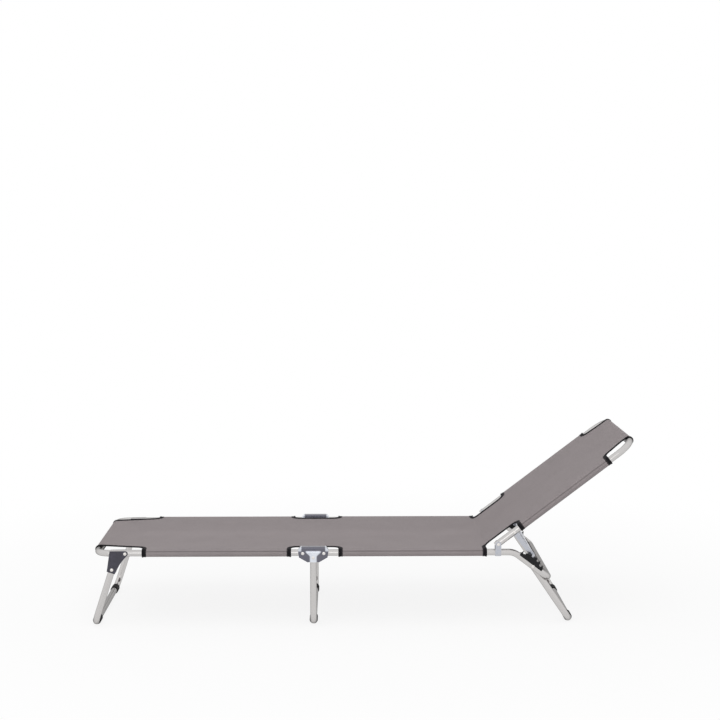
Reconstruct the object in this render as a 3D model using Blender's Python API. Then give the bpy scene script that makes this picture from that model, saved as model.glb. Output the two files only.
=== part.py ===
"""Folding sun lounger: tubular frame in three sections, three folding legs, a sling and a ratchet backrest.

Metres, +Z up, +X towards the head end. The origin is on the floor, under the middle of the whole object.
"""

import math

import bmesh
import bpy
from mathutils import Matrix, Vector

# Tubes and clearances
TUBE_RADIUS = 0.011
TUBE_SIDES = 14
CLEARANCE = 0.0003
SHEET_METAL = 0.0025
CHANNEL_GAP = 0.0003

# Main frame
RAIL_HEIGHT = 0.256
TRACK = 0.279
RAIL_END = 0.010
FOOT_CORNER_RADIUS = 0.042

# Hinge in the middle of the lying surface
HINGE_X = -0.160
HINGE_HALF = 0.0355
HINGE_TOP_HALF = 0.0424
HINGE_END_HALF = 0.051
HINGE_RISE = 0.021
HINGE_DROP = 0.0136
HINGE_FOOT_HALF = 0.020
HINGE_FOOT_DROP = 0.030
MID_LEG_TOP = 0.004

# Foot section
FOOT_LEG_REACH = 0.5977
FOOT_LEG_OFFSET = 0.026
FOOT_LEG_TILT = math.radians(18.0)
FOOT_LEG_TOP = 0.030
FOOT_BRACKET_DROP = 0.077
FOOT_BRACKET_NOSE = 0.0095
FOOT_BRACKET_HEEL = 0.0517
FOOT_BRACKET_WEB = 0.0028
FOOT_RIVET_DROP = 0.066
FOOT_BEND_CLEAR = 0.0021

# Rear end of the seat frame, bent down behind the backrest hinge
BEND_X = 0.518
BEND_RADIUS = 0.055
REAR_SLOPE = math.radians(37.0)
REAR_PIVOT_REACH = 0.080
REAR_REACH = 0.149
REAR_CORNER_RADIUS = 0.034
REAR_LEG_SPACE = 0.006
REAR_LEG_TOP = 0.010

# Legs on the floor
LEG_CORNER_RADIUS = 0.042
PAD_RADIUS = 0.014
PAD_LENGTH = 0.046
PAD_INSET = 0.002
PAD_FLAT = 0.0005

# Backrest and its hinge brackets
BACK_PIVOT_X = 0.464
BACK_PIVOT_RISE = 0.0287
BACK_LENGTH = 0.5755
BACK_CORNER_RADIUS = 0.060
RECLINE = math.radians(37.3)
BACK_BRACKET_HALF = 0.010

# Prop that holds the backrest up in its rack
PROP_REACH = 0.068
PROP_LENGTH = 0.106
PROP_RATIO = -1.25
PROP_ARM_WIDTH = 0.016
PROP_ARM_THICKNESS = 0.003
PROP_ARM_GAP = 0.0005
PROP_BAR_RADIUS = 0.006
PROP_BAR_RISE = 0.028
RECLINE_LOW = 0.0
RECLINE_HIGH = math.radians(60.0)

# Rack on each rear rail
RACK_START = 0.0205
RACK_END = 0.1125
RACK_WIDTH = 0.021
RACK_WALL = 0.0095
RACK_SADDLE = 0.004
RACK_STOPS = (60.0, 37.3, 18.65, 0.0)
NOTCH_WIDTH = 0.0128
TOOTH_RISE = 0.003
RACK_END_DROP = 0.0012
RACK_FLOOR = 0.0015
RACK_RUN_OUT = math.radians(6.0)
NOTCH_SILL = 0.0007

# Rivets
RIVET_RADIUS = 0.0032
RIVET_HEAD_RADIUS = 0.0058
RIVET_HEAD_RISE = 0.0024
RIVET_SIDES = 14

# Sling
SLING_THICKNESS = 0.0015
SLEEVE_WRAP = math.radians(300.0)
SLEEVE_STEPS = 16
SLEEVE_GAP = 0.0005
SHEET_COLUMNS = 6
NOTCH_DEPTH = 0.051
NOTCH_CORNER = 0.026
NOTCH_CORNER_STEPS = 7
FOOT_SLEEVE_START = 0.0537
FOOT_SLEEVE_END = 0.0535
SEAT_SLEEVE_START = 0.0735
BACK_SLEEVE_START = 0.090
BACK_SLEEVE_END = 0.470
SLING_SEAM_GAP = 0.0012

SIDES = {"near": -1.0, "far": 1.0}


def clear_scene():
    """Remove every object that is already in the scene."""
    for item in list(bpy.data.objects):
        bpy.data.objects.remove(item, do_unlink=True)


def finish(name, colour, roughness, metallic):
    """A plain material in the colour of the real surface."""
    material = bpy.data.materials.new(name)
    material.use_nodes = True
    shader = material.node_tree.nodes["Principled BSDF"]
    shader.inputs["Base Color"].default_value = (*colour, 1.0)
    shader.inputs["Roughness"].default_value = roughness
    shader.inputs["Metallic"].default_value = metallic
    return material


def axis_empty(name, parent, location, turn=0.0):
    """An empty on a joint's axis, turned about Y, that carries the pieces of one body."""
    empty = bpy.data.objects.new(name, None)
    bpy.context.collection.objects.link(empty)
    empty.parent = parent
    empty.location = location
    empty.rotation_euler = (0.0, turn, 0.0)
    return empty


def piece(name, mesh_builder, material, parent):
    """Turn a bmesh into a named object on its parent's axis."""
    bmesh.ops.recalc_face_normals(mesh_builder, faces=mesh_builder.faces)
    mesh = bpy.data.meshes.new(name)
    mesh_builder.to_mesh(mesh)
    mesh_builder.free()
    mesh.shade_smooth()
    mesh.set_sharp_from_angle(angle=math.radians(35.0))
    mesh.materials.append(material)
    item = bpy.data.objects.new(name, mesh)
    bpy.context.collection.objects.link(item)
    item.parent = parent
    return item


def cut(item, *cutters):
    """Subtract closed shapes from a piece, each as a hidden cutter."""
    for number, shape in enumerate(cutters):
        cutter = piece(f"{item.name}_cutter_{number}", shape, item.data.materials[0], item.parent)
        cutter.hide_render = True
        cutter.display_type = "WIRE"
        modifier = item.modifiers.new("cut", "BOOLEAN")
        modifier.operation = "DIFFERENCE"
        modifier.object = cutter


def loft(rings, closed=False):
    """Skin a row of equal rings, with a cap on each end or joined into a loop."""
    shape = bmesh.new()
    loops = [[shape.verts.new(point) for point in ring] for ring in rings]
    pairs = list(zip(loops, loops[1:]))
    if closed:
        pairs.append((loops[-1], loops[0]))
    else:
        shape.faces.new(list(reversed(loops[0])))
        shape.faces.new(loops[-1])
    for low, high in pairs:
        for index in range(len(low)):
            after = (index + 1) % len(low)
            shape.faces.new((low[index], low[after], high[after], high[index]))
    return shape


def bent_path(corners, radii, steps_per_right_angle=6):
    """A run through the corners with each one rounded to its bend radius."""
    points = [corners[0]]
    for before, corner, after, radius in zip(corners, corners[1:], corners[2:], radii):
        incoming = (corner - before).normalized()
        outgoing = (after - corner).normalized()
        turn = incoming.angle(outgoing)
        start = corner - incoming * radius * math.tan(turn / 2)
        normal = incoming.cross(outgoing).normalized()
        centre = start + normal.cross(incoming) * radius
        steps = max(3, round(steps_per_right_angle * turn / (math.pi / 2)))
        for step in range(steps + 1):
            spin = Matrix.Rotation(turn * step / steps, 3, normal)
            points.append(centre + spin @ (start - centre))
    points.append(corners[-1])
    return points


def tube(points, radius=TUBE_RADIUS, sides=TUBE_SIDES):
    """A round bar swept along a run of points."""
    rings = []
    tangent = (points[1] - points[0]).normalized()
    normal = tangent.orthogonal().normalized()
    for index, point in enumerate(points):
        before = points[max(index - 1, 0)]
        after = points[min(index + 1, len(points) - 1)]
        ahead = (after - before).normalized()
        normal = tangent.rotation_difference(ahead) @ normal
        tangent = ahead
        side = tangent.cross(normal)
        angles = [math.tau * step / sides for step in range(sides)]
        rings.append([point + (normal * math.cos(a) + side * math.sin(a)) * radius for a in angles])
    return loft(rings)


def turned(profile, x, z, sides=RIVET_SIDES, closed=False):
    """A profile of (radius, y) pairs turned about a line along Y through (x, z)."""
    angles = [math.tau * step / sides for step in range(sides)]
    rings = [
        [Vector((x + radius * math.cos(a), y, z + radius * math.sin(a))) for a in angles]
        for radius, y in profile
    ]
    return loft(rings, closed)


def drill(x, z, radius, y_low, y_high):
    """A round cutter along Y."""
    return turned([(radius, y_low), (radius, y_high)], x, z)


def prism(outline, y_low, y_high):
    """An outline of (x, z) pairs extruded along Y."""
    return loft([[Vector((x, y, z)) for x, z in outline] for y in (y_low, y_high)])


def arc(centre, radius, start, end, steps=6):
    """Points of (x, z) on an arc, angles in degrees."""
    angles = [math.radians(start + (end - start) * step / steps) for step in range(steps + 1)]
    return [(centre[0] + radius * math.cos(a), centre[1] + radius * math.sin(a)) for a in angles]


def quadratic(start, control, end, steps=6):
    """Points of (x, z) on a quadratic curve, without its start."""
    points = []
    for step in range(1, steps + 1):
        u = step / steps
        weights = ((1 - u) ** 2, 2 * u * (1 - u), u * u)
        points.append(tuple(sum(w * p[axis] for w, p in zip(weights, (start, control, end))) for axis in (0, 1)))
    return points


def rivet(name, x, z, y_low, y_high, material, parent):
    """A rivet along Y with a domed head beyond each end of its grip."""
    dome = [(1.0, 0.0), (0.92, 0.45), (0.66, 0.82), (0.25, 1.0)]
    head = [(RIVET_HEAD_RADIUS * r, RIVET_HEAD_RISE * h) for r, h in dome]
    low = y_low - CLEARANCE
    high = y_high + CLEARANCE
    profile = [(radius, low - rise) for radius, rise in reversed(head)]
    profile += [(RIVET_RADIUS, low), (RIVET_RADIUS, high)]
    profile += [(radius, high + rise) for radius, rise in head]
    return piece(name, turned(profile, x, z), material, parent)


def span(side, inner, outer):
    """The low and high Y of something that lies between two distances from the middle, on one side."""
    low, high = sorted((side * inner, side * outer))
    return low, high


def u_frame(x_start, x_end, z_start, z_end, track, radius):
    """The run of a U-shaped tube: out on the near side, across, and back on the far side."""
    corners = [
        Vector((x_start, -track, z_start)),
        Vector((x_end, -track, z_end)),
        Vector((x_end, track, z_end)),
        Vector((x_start, track, z_start)),
    ]
    return bent_path(corners, [radius, radius])


def sling_edge(share):
    """Half-width of the sling on its way from a notch, 0, to a sleeve, 1: a rounded inner corner."""
    return NOTCH_EDGE + (TRACK - NOTCH_EDGE) * (1.0 - math.sqrt(max(0.0, 1.0 - share * share)))


def notch_corner(x, direction):
    """Stations from a notch to the sleeve that starts at x, in the order of the given direction."""
    shares = [math.sin(math.pi / 2 * step / NOTCH_CORNER_STEPS) for step in range(NOTCH_CORNER_STEPS)]
    return [(x - direction * NOTCH_CORNER * (1.0 - share), sling_edge(share), False) for share in shares]


def sling(name, stations, material, parent, end_wrap=None):
    """A sheet on top of the rails with a sleeve round them where a station says so.

    Stations are (x, half-width, sleeved). An end wrap is (x of the end tube, -1 or 1).
    """
    radius = SLEEVE_RADIUS
    wraps = [SLEEVE_WRAP * step / SLEEVE_STEPS for step in range(1, SLEEVE_STEPS + 1)]
    rows = []
    for x, half, sleeved in stations:
        sheet = [
            Vector((x, half * (2.0 * column / SHEET_COLUMNS - 1.0), radius))
            for column in range(SHEET_COLUMNS + 1)
        ]
        near, far = [], []
        if sleeved:
            near = [Vector((x, -half - radius * math.sin(a), radius * math.cos(a))) for a in reversed(wraps)]
            far = [Vector((x, half + radius * math.sin(a), radius * math.cos(a))) for a in wraps]
        rows.append((near, sheet, far))
    if end_wrap:
        tube_x, direction = end_wrap
        half = stations[0][1] if direction < 0 else stations[-1][1]
        hem = []
        for angle in [0.0, *wraps]:
            row = [
                Vector((
                    tube_x + direction * radius * math.sin(angle),
                    half * (2.0 * column / SHEET_COLUMNS - 1.0),
                    radius * math.cos(angle),
                ))
                for column in range(SHEET_COLUMNS + 1)
            ]
            hem.append(([], row, []))
        rows = list(reversed(hem)) + rows if direction < 0 else rows + hem
    shape = bmesh.new()
    grid = [tuple([shape.verts.new(point) for point in part] for part in row) for row in rows]
    for low, high in zip(grid, grid[1:]):
        if low[0] and high[0]:
            low_run, high_run = sum(low, []), sum(high, [])
        else:
            low_run, high_run = low[1], high[1]
        for index in range(len(low_run) - 1):
            shape.faces.new((low_run[index], high_run[index], high_run[index + 1], low_run[index + 1]))
    shape.verts.index_update()
    loose = [vert for vert in shape.verts if not vert.link_faces]
    bmesh.ops.delete(shape, geom=loose, context="VERTS")
    item = piece(name, shape, material, parent)
    if item.data.polygons[len(item.data.polygons) // 2].normal.z < 0.0:
        item.data.flip_normals()
    thickness = item.modifiers.new("cloth", "SOLIDIFY")
    thickness.thickness = SLING_THICKNESS
    thickness.offset = 1.0
    return item


def floor_pad(name, side, x, z, track, material, parent, floor):
    """A rubber sleeve on a leg's floor bar, with a flat sole at the floor."""
    inner = TUBE_RADIUS + CLEARANCE
    end = track - LEG_CORNER_RADIUS - PAD_INSET
    low, high = span(side, end - PAD_LENGTH, end)
    profile = [(inner, low), (PAD_RADIUS, low), (PAD_RADIUS, high), (inner, high)]
    item = piece(name, turned(profile, x, z, sides=20, closed=True), material, parent)
    modifier = item.modifiers.new("sole", "BOOLEAN")
    modifier.operation = "DIFFERENCE"
    modifier.object = floor


# Places worked out from the driving dimensions
CHANNEL_INNER = TUBE_RADIUS + CHANNEL_GAP
SLEEVE_RADIUS = TUBE_RADIUS + SLEEVE_GAP
NOTCH_EDGE = TRACK - NOTCH_DEPTH
FOOT_LENGTH = FOOT_LEG_REACH + FOOT_BRACKET_HEEL + FOOT_BEND_CLEAR + FOOT_CORNER_RADIUS
REAR_LEG_TRACK = TRACK - 2 * TUBE_RADIUS - REAR_LEG_SPACE
CHANNEL_OUTER = CHANNEL_INNER + SHEET_METAL
FLOOR_BAR_HEIGHT = PAD_RADIUS - PAD_FLAT
SEAT_HINGE_X = HINGE_X + HINGE_HALF
FOOT_HINGE_X = HINGE_X - HINGE_HALF
BACK_PIVOT = Vector((BACK_PIVOT_X, 0.0, RAIL_HEIGHT + BACK_PIVOT_RISE))
DOWN_SLOPE = Vector((math.cos(REAR_SLOPE), 0.0, -math.sin(REAR_SLOPE)))
OFF_SLOPE = Vector((math.sin(REAR_SLOPE), 0.0, math.cos(REAR_SLOPE)))
BEND = Vector((BEND_X, 0.0, RAIL_HEIGHT))
REAR_PIVOT = BEND + DOWN_SLOPE * REAR_PIVOT_REACH
REAR_LEG_LEAN = math.asin((2 * TUBE_RADIUS + CLEARANCE) / (REAR_REACH - REAR_PIVOT_REACH))
REAR_LEG_TURN = REAR_SLOPE + REAR_LEG_LEAN - math.pi / 2
HOLE_RADIUS = RIVET_RADIUS + CLEARANCE


def prop_bar_place(recline):
    """Where the prop's bar is for a recline angle: distance along the rear rail, and height off its middle."""
    pivot = BACK_PIVOT - BEND
    along = pivot.dot(DOWN_SLOPE)
    off = pivot.dot(OFF_SLOPE)
    rest_off = off + PROP_REACH * math.sin(RECLINE + REAR_SLOPE)
    rest_lean = math.asin((rest_off - PROP_BAR_RISE) / PROP_LENGTH)
    lean = rest_lean - (1.0 + PROP_RATIO) * (recline - RECLINE)
    turn = recline + REAR_SLOPE
    return (
        along + PROP_REACH * math.cos(turn) + PROP_LENGTH * math.cos(lean),
        off + PROP_REACH * math.sin(turn) - PROP_LENGTH * math.sin(lean),
        lean,
    )


def rack_ledge(steps=20):
    """The rack's rounded ledge, as (along, off) pairs: the bar glides over it through the whole recline."""
    drop = PROP_BAR_RADIUS + CLEARANCE
    lowest = TUBE_RADIUS + CLEARANCE + RACK_FLOOR
    first = RECLINE_HIGH + RACK_RUN_OUT
    stride = (RECLINE_LOW - RACK_RUN_OUT - first) / steps
    ledge = []
    for step in range(steps + 1):
        recline = first + stride * step
        here = Vector(prop_bar_place(recline)[:2])
        ahead = Vector(prop_bar_place(recline + stride)[:2]) - here
        along, off = here + Vector((ahead.y, -ahead.x)).normalized() * drop
        ledge.append((along, max(off, lowest)))
    return [(RACK_START, ledge[0][1]), *ledge, (RACK_END, ledge[-1][1])]


def ledge_height(ledge, along):
    """Height of the ledge at a distance along the rail."""
    for (a, low), (b, high) in zip(ledge, ledge[1:]):
        if a <= along <= b:
            return low + (high - low) * (along - a) / (b - a)
    return ledge[-1][1]


def rack_teeth(ledge):
    """The rack's toothed outer edge: a notch for each position of the bar, with a hooked tooth between."""
    half = NOTCH_WIDTH / 2
    rise = PROP_BAR_RADIUS + TOOTH_RISE
    notches = [prop_bar_place(math.radians(stop))[0] for stop in RACK_STOPS]
    edge = [(RACK_START, ledge_height(ledge, RACK_START) - RACK_END_DROP)]
    for place in notches:
        floor = ledge_height(ledge, place) + NOTCH_SILL
        edge.append((place - half, floor + rise))
        edge += [(place + half * math.sin(a), floor + half * (1.0 - math.cos(a))) for a in (-1.2, -0.6, 0.0, 0.6, 1.2)]
        edge.append((place + half, floor + rise))
    edge.append((RACK_END, ledge_height(ledge, RACK_END) - RACK_END_DROP))
    return edge


def rail_point(along, off):
    """An (x, z) pair from a distance along the rear rail and a height off its middle."""
    place = BEND + DOWN_SLOPE * along + OFF_SLOPE * off
    return place.x, place.z


def overall_shift():
    """How far the model moves along X to stand over its origin."""
    foot_bar_drop = RAIL_HEIGHT - FLOOR_BAR_HEIGHT + FOOT_LEG_OFFSET * math.sin(FOOT_LEG_TILT)
    foot_x = FOOT_HINGE_X - FOOT_LEG_REACH - FOOT_LEG_OFFSET * math.cos(FOOT_LEG_TILT)
    lowest = foot_x - foot_bar_drop * math.tan(FOOT_LEG_TILT) - PAD_RADIUS
    sling_radius = SLEEVE_RADIUS + SLING_THICKNESS
    highest = BACK_PIVOT.x + (BACK_LENGTH - TUBE_RADIUS) * math.cos(RECLINE) + sling_radius
    return -(lowest + highest) / 2


def build_seat(root, metal, steel, plastic, cloth):
    """The middle section: rails bent down at the rear, backrest brackets and prop racks."""
    rear_end = BEND + DOWN_SLOPE * REAR_REACH
    near = [
        Vector((SEAT_HINGE_X - RAIL_END, -TRACK, RAIL_HEIGHT)),
        Vector((BEND.x, -TRACK, BEND.z)),
        Vector((rear_end.x, -TRACK, rear_end.z)),
    ]
    far = [Vector((point.x, TRACK, point.z)) for point in reversed(near)]
    radii = [BEND_RADIUS, REAR_CORNER_RADIUS, REAR_CORNER_RADIUS, BEND_RADIUS]
    frame = piece("seat_frame", tube(bent_path(near + far, radii)), metal, root)
    reach = TRACK + 2 * TUBE_RADIUS
    cut(
        frame,
        drill(SEAT_HINGE_X, RAIL_HEIGHT, HOLE_RADIUS, -reach, reach),
        drill(REAR_PIVOT.x, REAR_PIVOT.z, HOLE_RADIUS, -reach, reach),
    )
    for label, side in SIDES.items():
        build_back_bracket(label, side, root, steel)
        build_rack(label, side, root, plastic)
    fold_z = RAIL_HEIGHT + SLEEVE_RADIUS
    fold_along = (fold_z - BACK_PIVOT.z - SLEEVE_RADIUS * math.cos(RECLINE)) / math.sin(RECLINE)
    fold_x = BACK_PIVOT.x + fold_along * math.cos(RECLINE) - SLEEVE_RADIUS * math.sin(RECLINE)
    start = HINGE_X + HINGE_HALF + SEAT_SLEEVE_START
    end = fold_x - SLING_SEAM_GAP
    carrier = axis_empty("seat_sling_place", root, (0.0, 0.0, RAIL_HEIGHT))
    stations = [(SEAT_HINGE_X + CLEARANCE, NOTCH_EDGE, False), *notch_corner(start, 1.0)]
    stations += [(start, TRACK, True), ((start + end) / 2, TRACK, True), (end, TRACK, True)]
    sling("sling_seat", stations, cloth, carrier)
    return fold_along


def build_back_bracket(label, side, root, steel):
    """A strap folded round the rail, with two ears that hold the backrest's end."""
    low, high = span(side, TRACK - CHANNEL_OUTER, TRACK + CHANNEL_OUTER)
    bottom = RAIL_HEIGHT - CHANNEL_OUTER
    top = (BACK_PIVOT.x, BACK_PIVOT.z)
    outline = [(top[0] - BACK_BRACKET_HALF, bottom), (top[0] + BACK_BRACKET_HALF, bottom)]
    outline += arc(top, BACK_BRACKET_HALF, 0.0, 180.0, 8)
    strap = piece(f"back_bracket_{label}", prism(outline, low, high), steel, root)
    inner_low, inner_high = span(side, TRACK - CHANNEL_INNER, TRACK + CHANNEL_INNER)
    room = [
        (top[0] - 2 * BACK_BRACKET_HALF, RAIL_HEIGHT - CHANNEL_INNER),
        (top[0] + 2 * BACK_BRACKET_HALF, RAIL_HEIGHT - CHANNEL_INNER),
        (top[0] + 2 * BACK_BRACKET_HALF, top[1] + 2 * BACK_BRACKET_HALF),
        (top[0] - 2 * BACK_BRACKET_HALF, top[1] + 2 * BACK_BRACKET_HALF),
    ]
    cut(
        strap,
        prism(room, inner_low, inner_high),
        drill(*top, HOLE_RADIUS, low - SHEET_METAL, high + SHEET_METAL),
    )
    rivet(f"back_pivot_rivet_{label}", *top, low, high, steel, root)


def build_rack(label, side, root, plastic):
    """The notched rack that sits astride one rear rail."""
    ledge = rack_ledge()
    saddle = RACK_SADDLE
    inner = TRACK - RACK_WIDTH / 2
    outer = TRACK + RACK_WIDTH / 2
    wall = outer - RACK_WALL
    outline = [rail_point(RACK_START, saddle), rail_point(RACK_END, saddle)]
    outline += [rail_point(along, off) for along, off in reversed(rack_teeth(ledge))]
    rack = piece(f"prop_rack_{label}", prism(outline, *span(side, inner, outer)), plastic, root)
    above = PROP_BAR_RISE + PROP_BAR_RADIUS
    margin = NOTCH_WIDTH
    clear = [rail_point(along, off) for along, off in ledge[1:-1]]
    clear = [
        rail_point(RACK_START - margin, ledge[0][1]),
        *clear,
        rail_point(RACK_END + margin, ledge[-1][1]),
        rail_point(RACK_END + margin, above + margin),
        rail_point(RACK_START - margin, above + margin),
    ]
    rail = [Vector((x, side * TRACK, z)) for x, z in (rail_point(RACK_START - margin, 0), rail_point(RACK_END + margin, 0))]
    cut(
        rack,
        prism(clear, *span(side, inner - margin, wall)),
        tube(rail, TUBE_RADIUS + CLEARANCE, 2 * TUBE_SIDES),
    )


def build_mid_hinge(root, metal, steel, rubber, cloth, floor):
    """The hinge channels of the middle, with the leg that stands under them."""
    axis = axis_empty("mid_hinge_axis", root, (SEAT_HINGE_X, 0.0, RAIL_HEIGHT))
    centre = -HINGE_HALF
    floor_z = FLOOR_BAR_HEIGHT - RAIL_HEIGHT
    leg = piece(
        "mid_leg",
        tube(u_frame(centre, centre, MID_LEG_TOP, floor_z, TRACK, LEG_CORNER_RADIUS)),
        metal,
        axis,
    )
    reach = TRACK + 2 * TUBE_RADIUS
    leg_rivet_z = -HINGE_FOOT_DROP / 2
    cut(leg, drill(centre, leg_rivet_z, HOLE_RADIUS, -reach, reach))
    top = TUBE_RADIUS + CLEARANCE
    half_outline = [
        (HINGE_END_HALF, top),
        (HINGE_END_HALF - SHEET_METAL, -HINGE_DROP),
        (HINGE_FOOT_HALF, -HINGE_FOOT_DROP),
    ]
    outline = [(centre + HINGE_TOP_HALF, HINGE_RISE)] + [(centre + x, z) for x, z in half_outline]
    outline += [(centre - x, z) for x, z in reversed(half_outline)] + [(centre - HINGE_TOP_HALF, HINGE_RISE)]
    beyond = HINGE_END_HALF + TUBE_RADIUS
    room = [
        (centre - beyond, -2 * HINGE_FOOT_DROP),
        (centre + beyond, -2 * HINGE_FOOT_DROP),
        (centre + beyond, top),
        (centre + HINGE_END_HALF - SHEET_METAL, top),
        (centre + HINGE_TOP_HALF - SHEET_METAL, HINGE_RISE - SHEET_METAL),
        (centre - HINGE_TOP_HALF + SHEET_METAL, HINGE_RISE - SHEET_METAL),
        (centre - HINGE_END_HALF + SHEET_METAL, top),
        (centre - beyond, top),
    ]
    pins = {"seat": (0.0, 0.0), "foot": (-2 * HINGE_HALF, 0.0), "leg": (centre, leg_rivet_z)}
    for label, side in SIDES.items():
        low, high = span(side, TRACK - CHANNEL_OUTER, TRACK + CHANNEL_OUTER)
        channel = piece(f"mid_hinge_{label}", prism(outline, low, high), steel, axis)
        holes = [drill(x, z, HOLE_RADIUS, low - SHEET_METAL, high + SHEET_METAL) for x, z in pins.values()]
        inner = span(side, TRACK - CHANNEL_INNER, TRACK + CHANNEL_INNER)
        cut(channel, prism(room, *inner), *holes)
        for pin, (x, z) in pins.items():
            rivet(f"mid_{pin}_rivet_{label}", x, z, low, high, steel, axis)
        floor_pad(f"mid_pad_{label}", side, centre, floor_z, TRACK, rubber, axis, floor)
    stations = [(-2 * HINGE_HALF + CLEARANCE, NOTCH_EDGE, False), (-CLEARANCE, NOTCH_EDGE, False)]
    sling("sling_middle", stations, cloth, axis)
    return axis


def build_foot_section(mid_hinge, metal, cloth):
    """The foot section: one U-shaped tube and its part of the sling."""
    axis = axis_empty("foot_section_axis", mid_hinge, (-2 * HINGE_HALF, 0.0, 0.0))
    frame = piece(
        "foot_frame",
        tube(u_frame(RAIL_END, -FOOT_LENGTH, 0.0, 0.0, TRACK, FOOT_CORNER_RADIUS)),
        metal,
        axis,
    )
    reach = TRACK + 2 * TUBE_RADIUS
    cut(
        frame,
        drill(0.0, 0.0, HOLE_RADIUS, -reach, reach),
        drill(-FOOT_LEG_REACH, 0.0, HOLE_RADIUS, -reach, reach),
    )
    start = -FOOT_LEG_REACH + FOOT_SLEEVE_START
    end = -FOOT_SLEEVE_END
    edge = TRACK - FOOT_CORNER_RADIUS
    hem = min(NOTCH_EDGE, edge)
    stations = [(-FOOT_LENGTH + 2 * TUBE_RADIUS, hem, False), *notch_corner(start, 1.0)]
    stations += [(start, TRACK, True), ((start + end) / 2, TRACK, True), (end, TRACK, True)]
    stations += [*reversed(notch_corner(end, -1.0)), (-CLEARANCE, NOTCH_EDGE, False)]
    sling("sling_foot", stations, cloth, axis, (-FOOT_LENGTH, -1.0))
    return axis


def build_foot_leg(foot_section, metal, paint, steel, rubber, floor):
    """The leg at the foot end, held by two brackets that turn on the rails."""
    axis = axis_empty("foot_leg_axis", foot_section, (-FOOT_LEG_REACH, 0.0, 0.0), FOOT_LEG_TILT)
    leg_x = -FOOT_LEG_OFFSET
    rise = FLOOR_BAR_HEIGHT - RAIL_HEIGHT - FOOT_LEG_OFFSET * math.sin(FOOT_LEG_TILT)
    floor_z = rise / math.cos(FOOT_LEG_TILT)
    leg = piece(
        "foot_leg",
        tube(u_frame(leg_x, leg_x, -FOOT_LEG_TOP, floor_z, TRACK, LEG_CORNER_RADIUS)),
        metal,
        axis,
    )
    reach = TRACK + 2 * TUBE_RADIUS
    cut(leg, drill(leg_x, -FOOT_RIVET_DROP, HOLE_RADIUS, -reach, reach))
    tilt = math.degrees(FOOT_LEG_TILT)
    cheek = TUBE_RADIUS + FOOT_BRACKET_WEB + CLEARANCE
    nose = arc((0.0, 0.0), FOOT_BRACKET_NOSE, 90.0 + tilt, -30.0, 7)
    heel_z = FOOT_BRACKET_NOSE - (FOOT_BRACKET_HEEL * math.tan(FOOT_LEG_TILT))
    foot_front = (leg_x + cheek, -FOOT_BRACKET_DROP)
    waist = (leg_x + cheek + FOOT_BRACKET_WEB, -FOOT_BRACKET_DROP / 2)
    outline = [(leg_x - cheek, -FOOT_BRACKET_DROP), (-FOOT_BRACKET_HEEL, heel_z), *nose]
    outline += quadratic(nose[-1], waist, foot_front)
    far_out = 2 * FOOT_BRACKET_DROP
    under = -(TUBE_RADIUS + CLEARANCE)
    slope = math.tan(FOOT_LEG_TILT)
    lift = under / math.cos(FOOT_LEG_TILT)
    leg_room = [
        (leg_x - TUBE_RADIUS - CLEARANCE, -far_out),
        (far_out, -far_out),
        (far_out, far_out),
        (leg_x - TUBE_RADIUS - CLEARANCE, far_out),
    ]
    rail_room = [
        (-far_out, -far_out * slope + lift),
        (far_out, far_out * slope + lift),
        (far_out, 2 * far_out),
        (-far_out, 2 * far_out),
    ]
    for label, side in SIDES.items():
        low, high = span(side, TRACK - CHANNEL_OUTER, TRACK + CHANNEL_OUTER)
        inner = span(side, TRACK - CHANNEL_INNER, TRACK + CHANNEL_INNER)
        bracket = piece(f"foot_leg_bracket_{label}", prism(outline, low, high), paint, axis)
        cut(
            bracket,
            prism(leg_room, *inner),
            prism(rail_room, *inner),
            drill(0.0, 0.0, HOLE_RADIUS, low - SHEET_METAL, high + SHEET_METAL),
            drill(leg_x, -FOOT_RIVET_DROP, HOLE_RADIUS, low - SHEET_METAL, high + SHEET_METAL),
        )
        rivet(f"foot_leg_pivot_rivet_{label}", 0.0, 0.0, low, high, steel, axis)
        rivet(f"foot_leg_lower_rivet_{label}", leg_x, -FOOT_RIVET_DROP, low, high, steel, axis)
        floor_pad(f"foot_pad_{label}", side, leg_x, floor_z, TRACK, rubber, axis, floor)


def build_rear_leg(root, metal, plastic, steel, rubber, floor):
    """The leg under the backrest, inside the rails, resting against the frame's rear bar."""
    axis = axis_empty("rear_leg_axis", root, REAR_PIVOT, REAR_LEG_TURN)
    floor_z = (FLOOR_BAR_HEIGHT - REAR_PIVOT.z) / math.cos(REAR_LEG_TURN)
    leg = piece(
        "rear_leg",
        tube(u_frame(0.0, 0.0, REAR_LEG_TOP, floor_z, REAR_LEG_TRACK, LEG_CORNER_RADIUS)),
        metal,
        axis,
    )
    reach = TRACK + 2 * TUBE_RADIUS
    cut(leg, drill(0.0, 0.0, HOLE_RADIUS, -reach, reach))
    for label, side in SIDES.items():
        low, high = span(side, REAR_LEG_TRACK - TUBE_RADIUS, TRACK + TUBE_RADIUS)
        rivet(f"rear_leg_rivet_{label}", 0.0, 0.0, low, high, steel, axis)
        gap = span(side, REAR_LEG_TRACK + TUBE_RADIUS + CLEARANCE, TRACK - TUBE_RADIUS - CLEARANCE)
        profile = [
            (HOLE_RADIUS, gap[0]),
            (RIVET_HEAD_RADIUS, gap[0]),
            (RIVET_HEAD_RADIUS, gap[1]),
            (HOLE_RADIUS, gap[1]),
        ]
        piece(f"rear_leg_spacer_{label}", turned(profile, 0.0, 0.0, closed=True), plastic, axis)
        floor_pad(f"rear_pad_{label}", side, 0.0, floor_z, REAR_LEG_TRACK, rubber, axis, floor)


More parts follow.
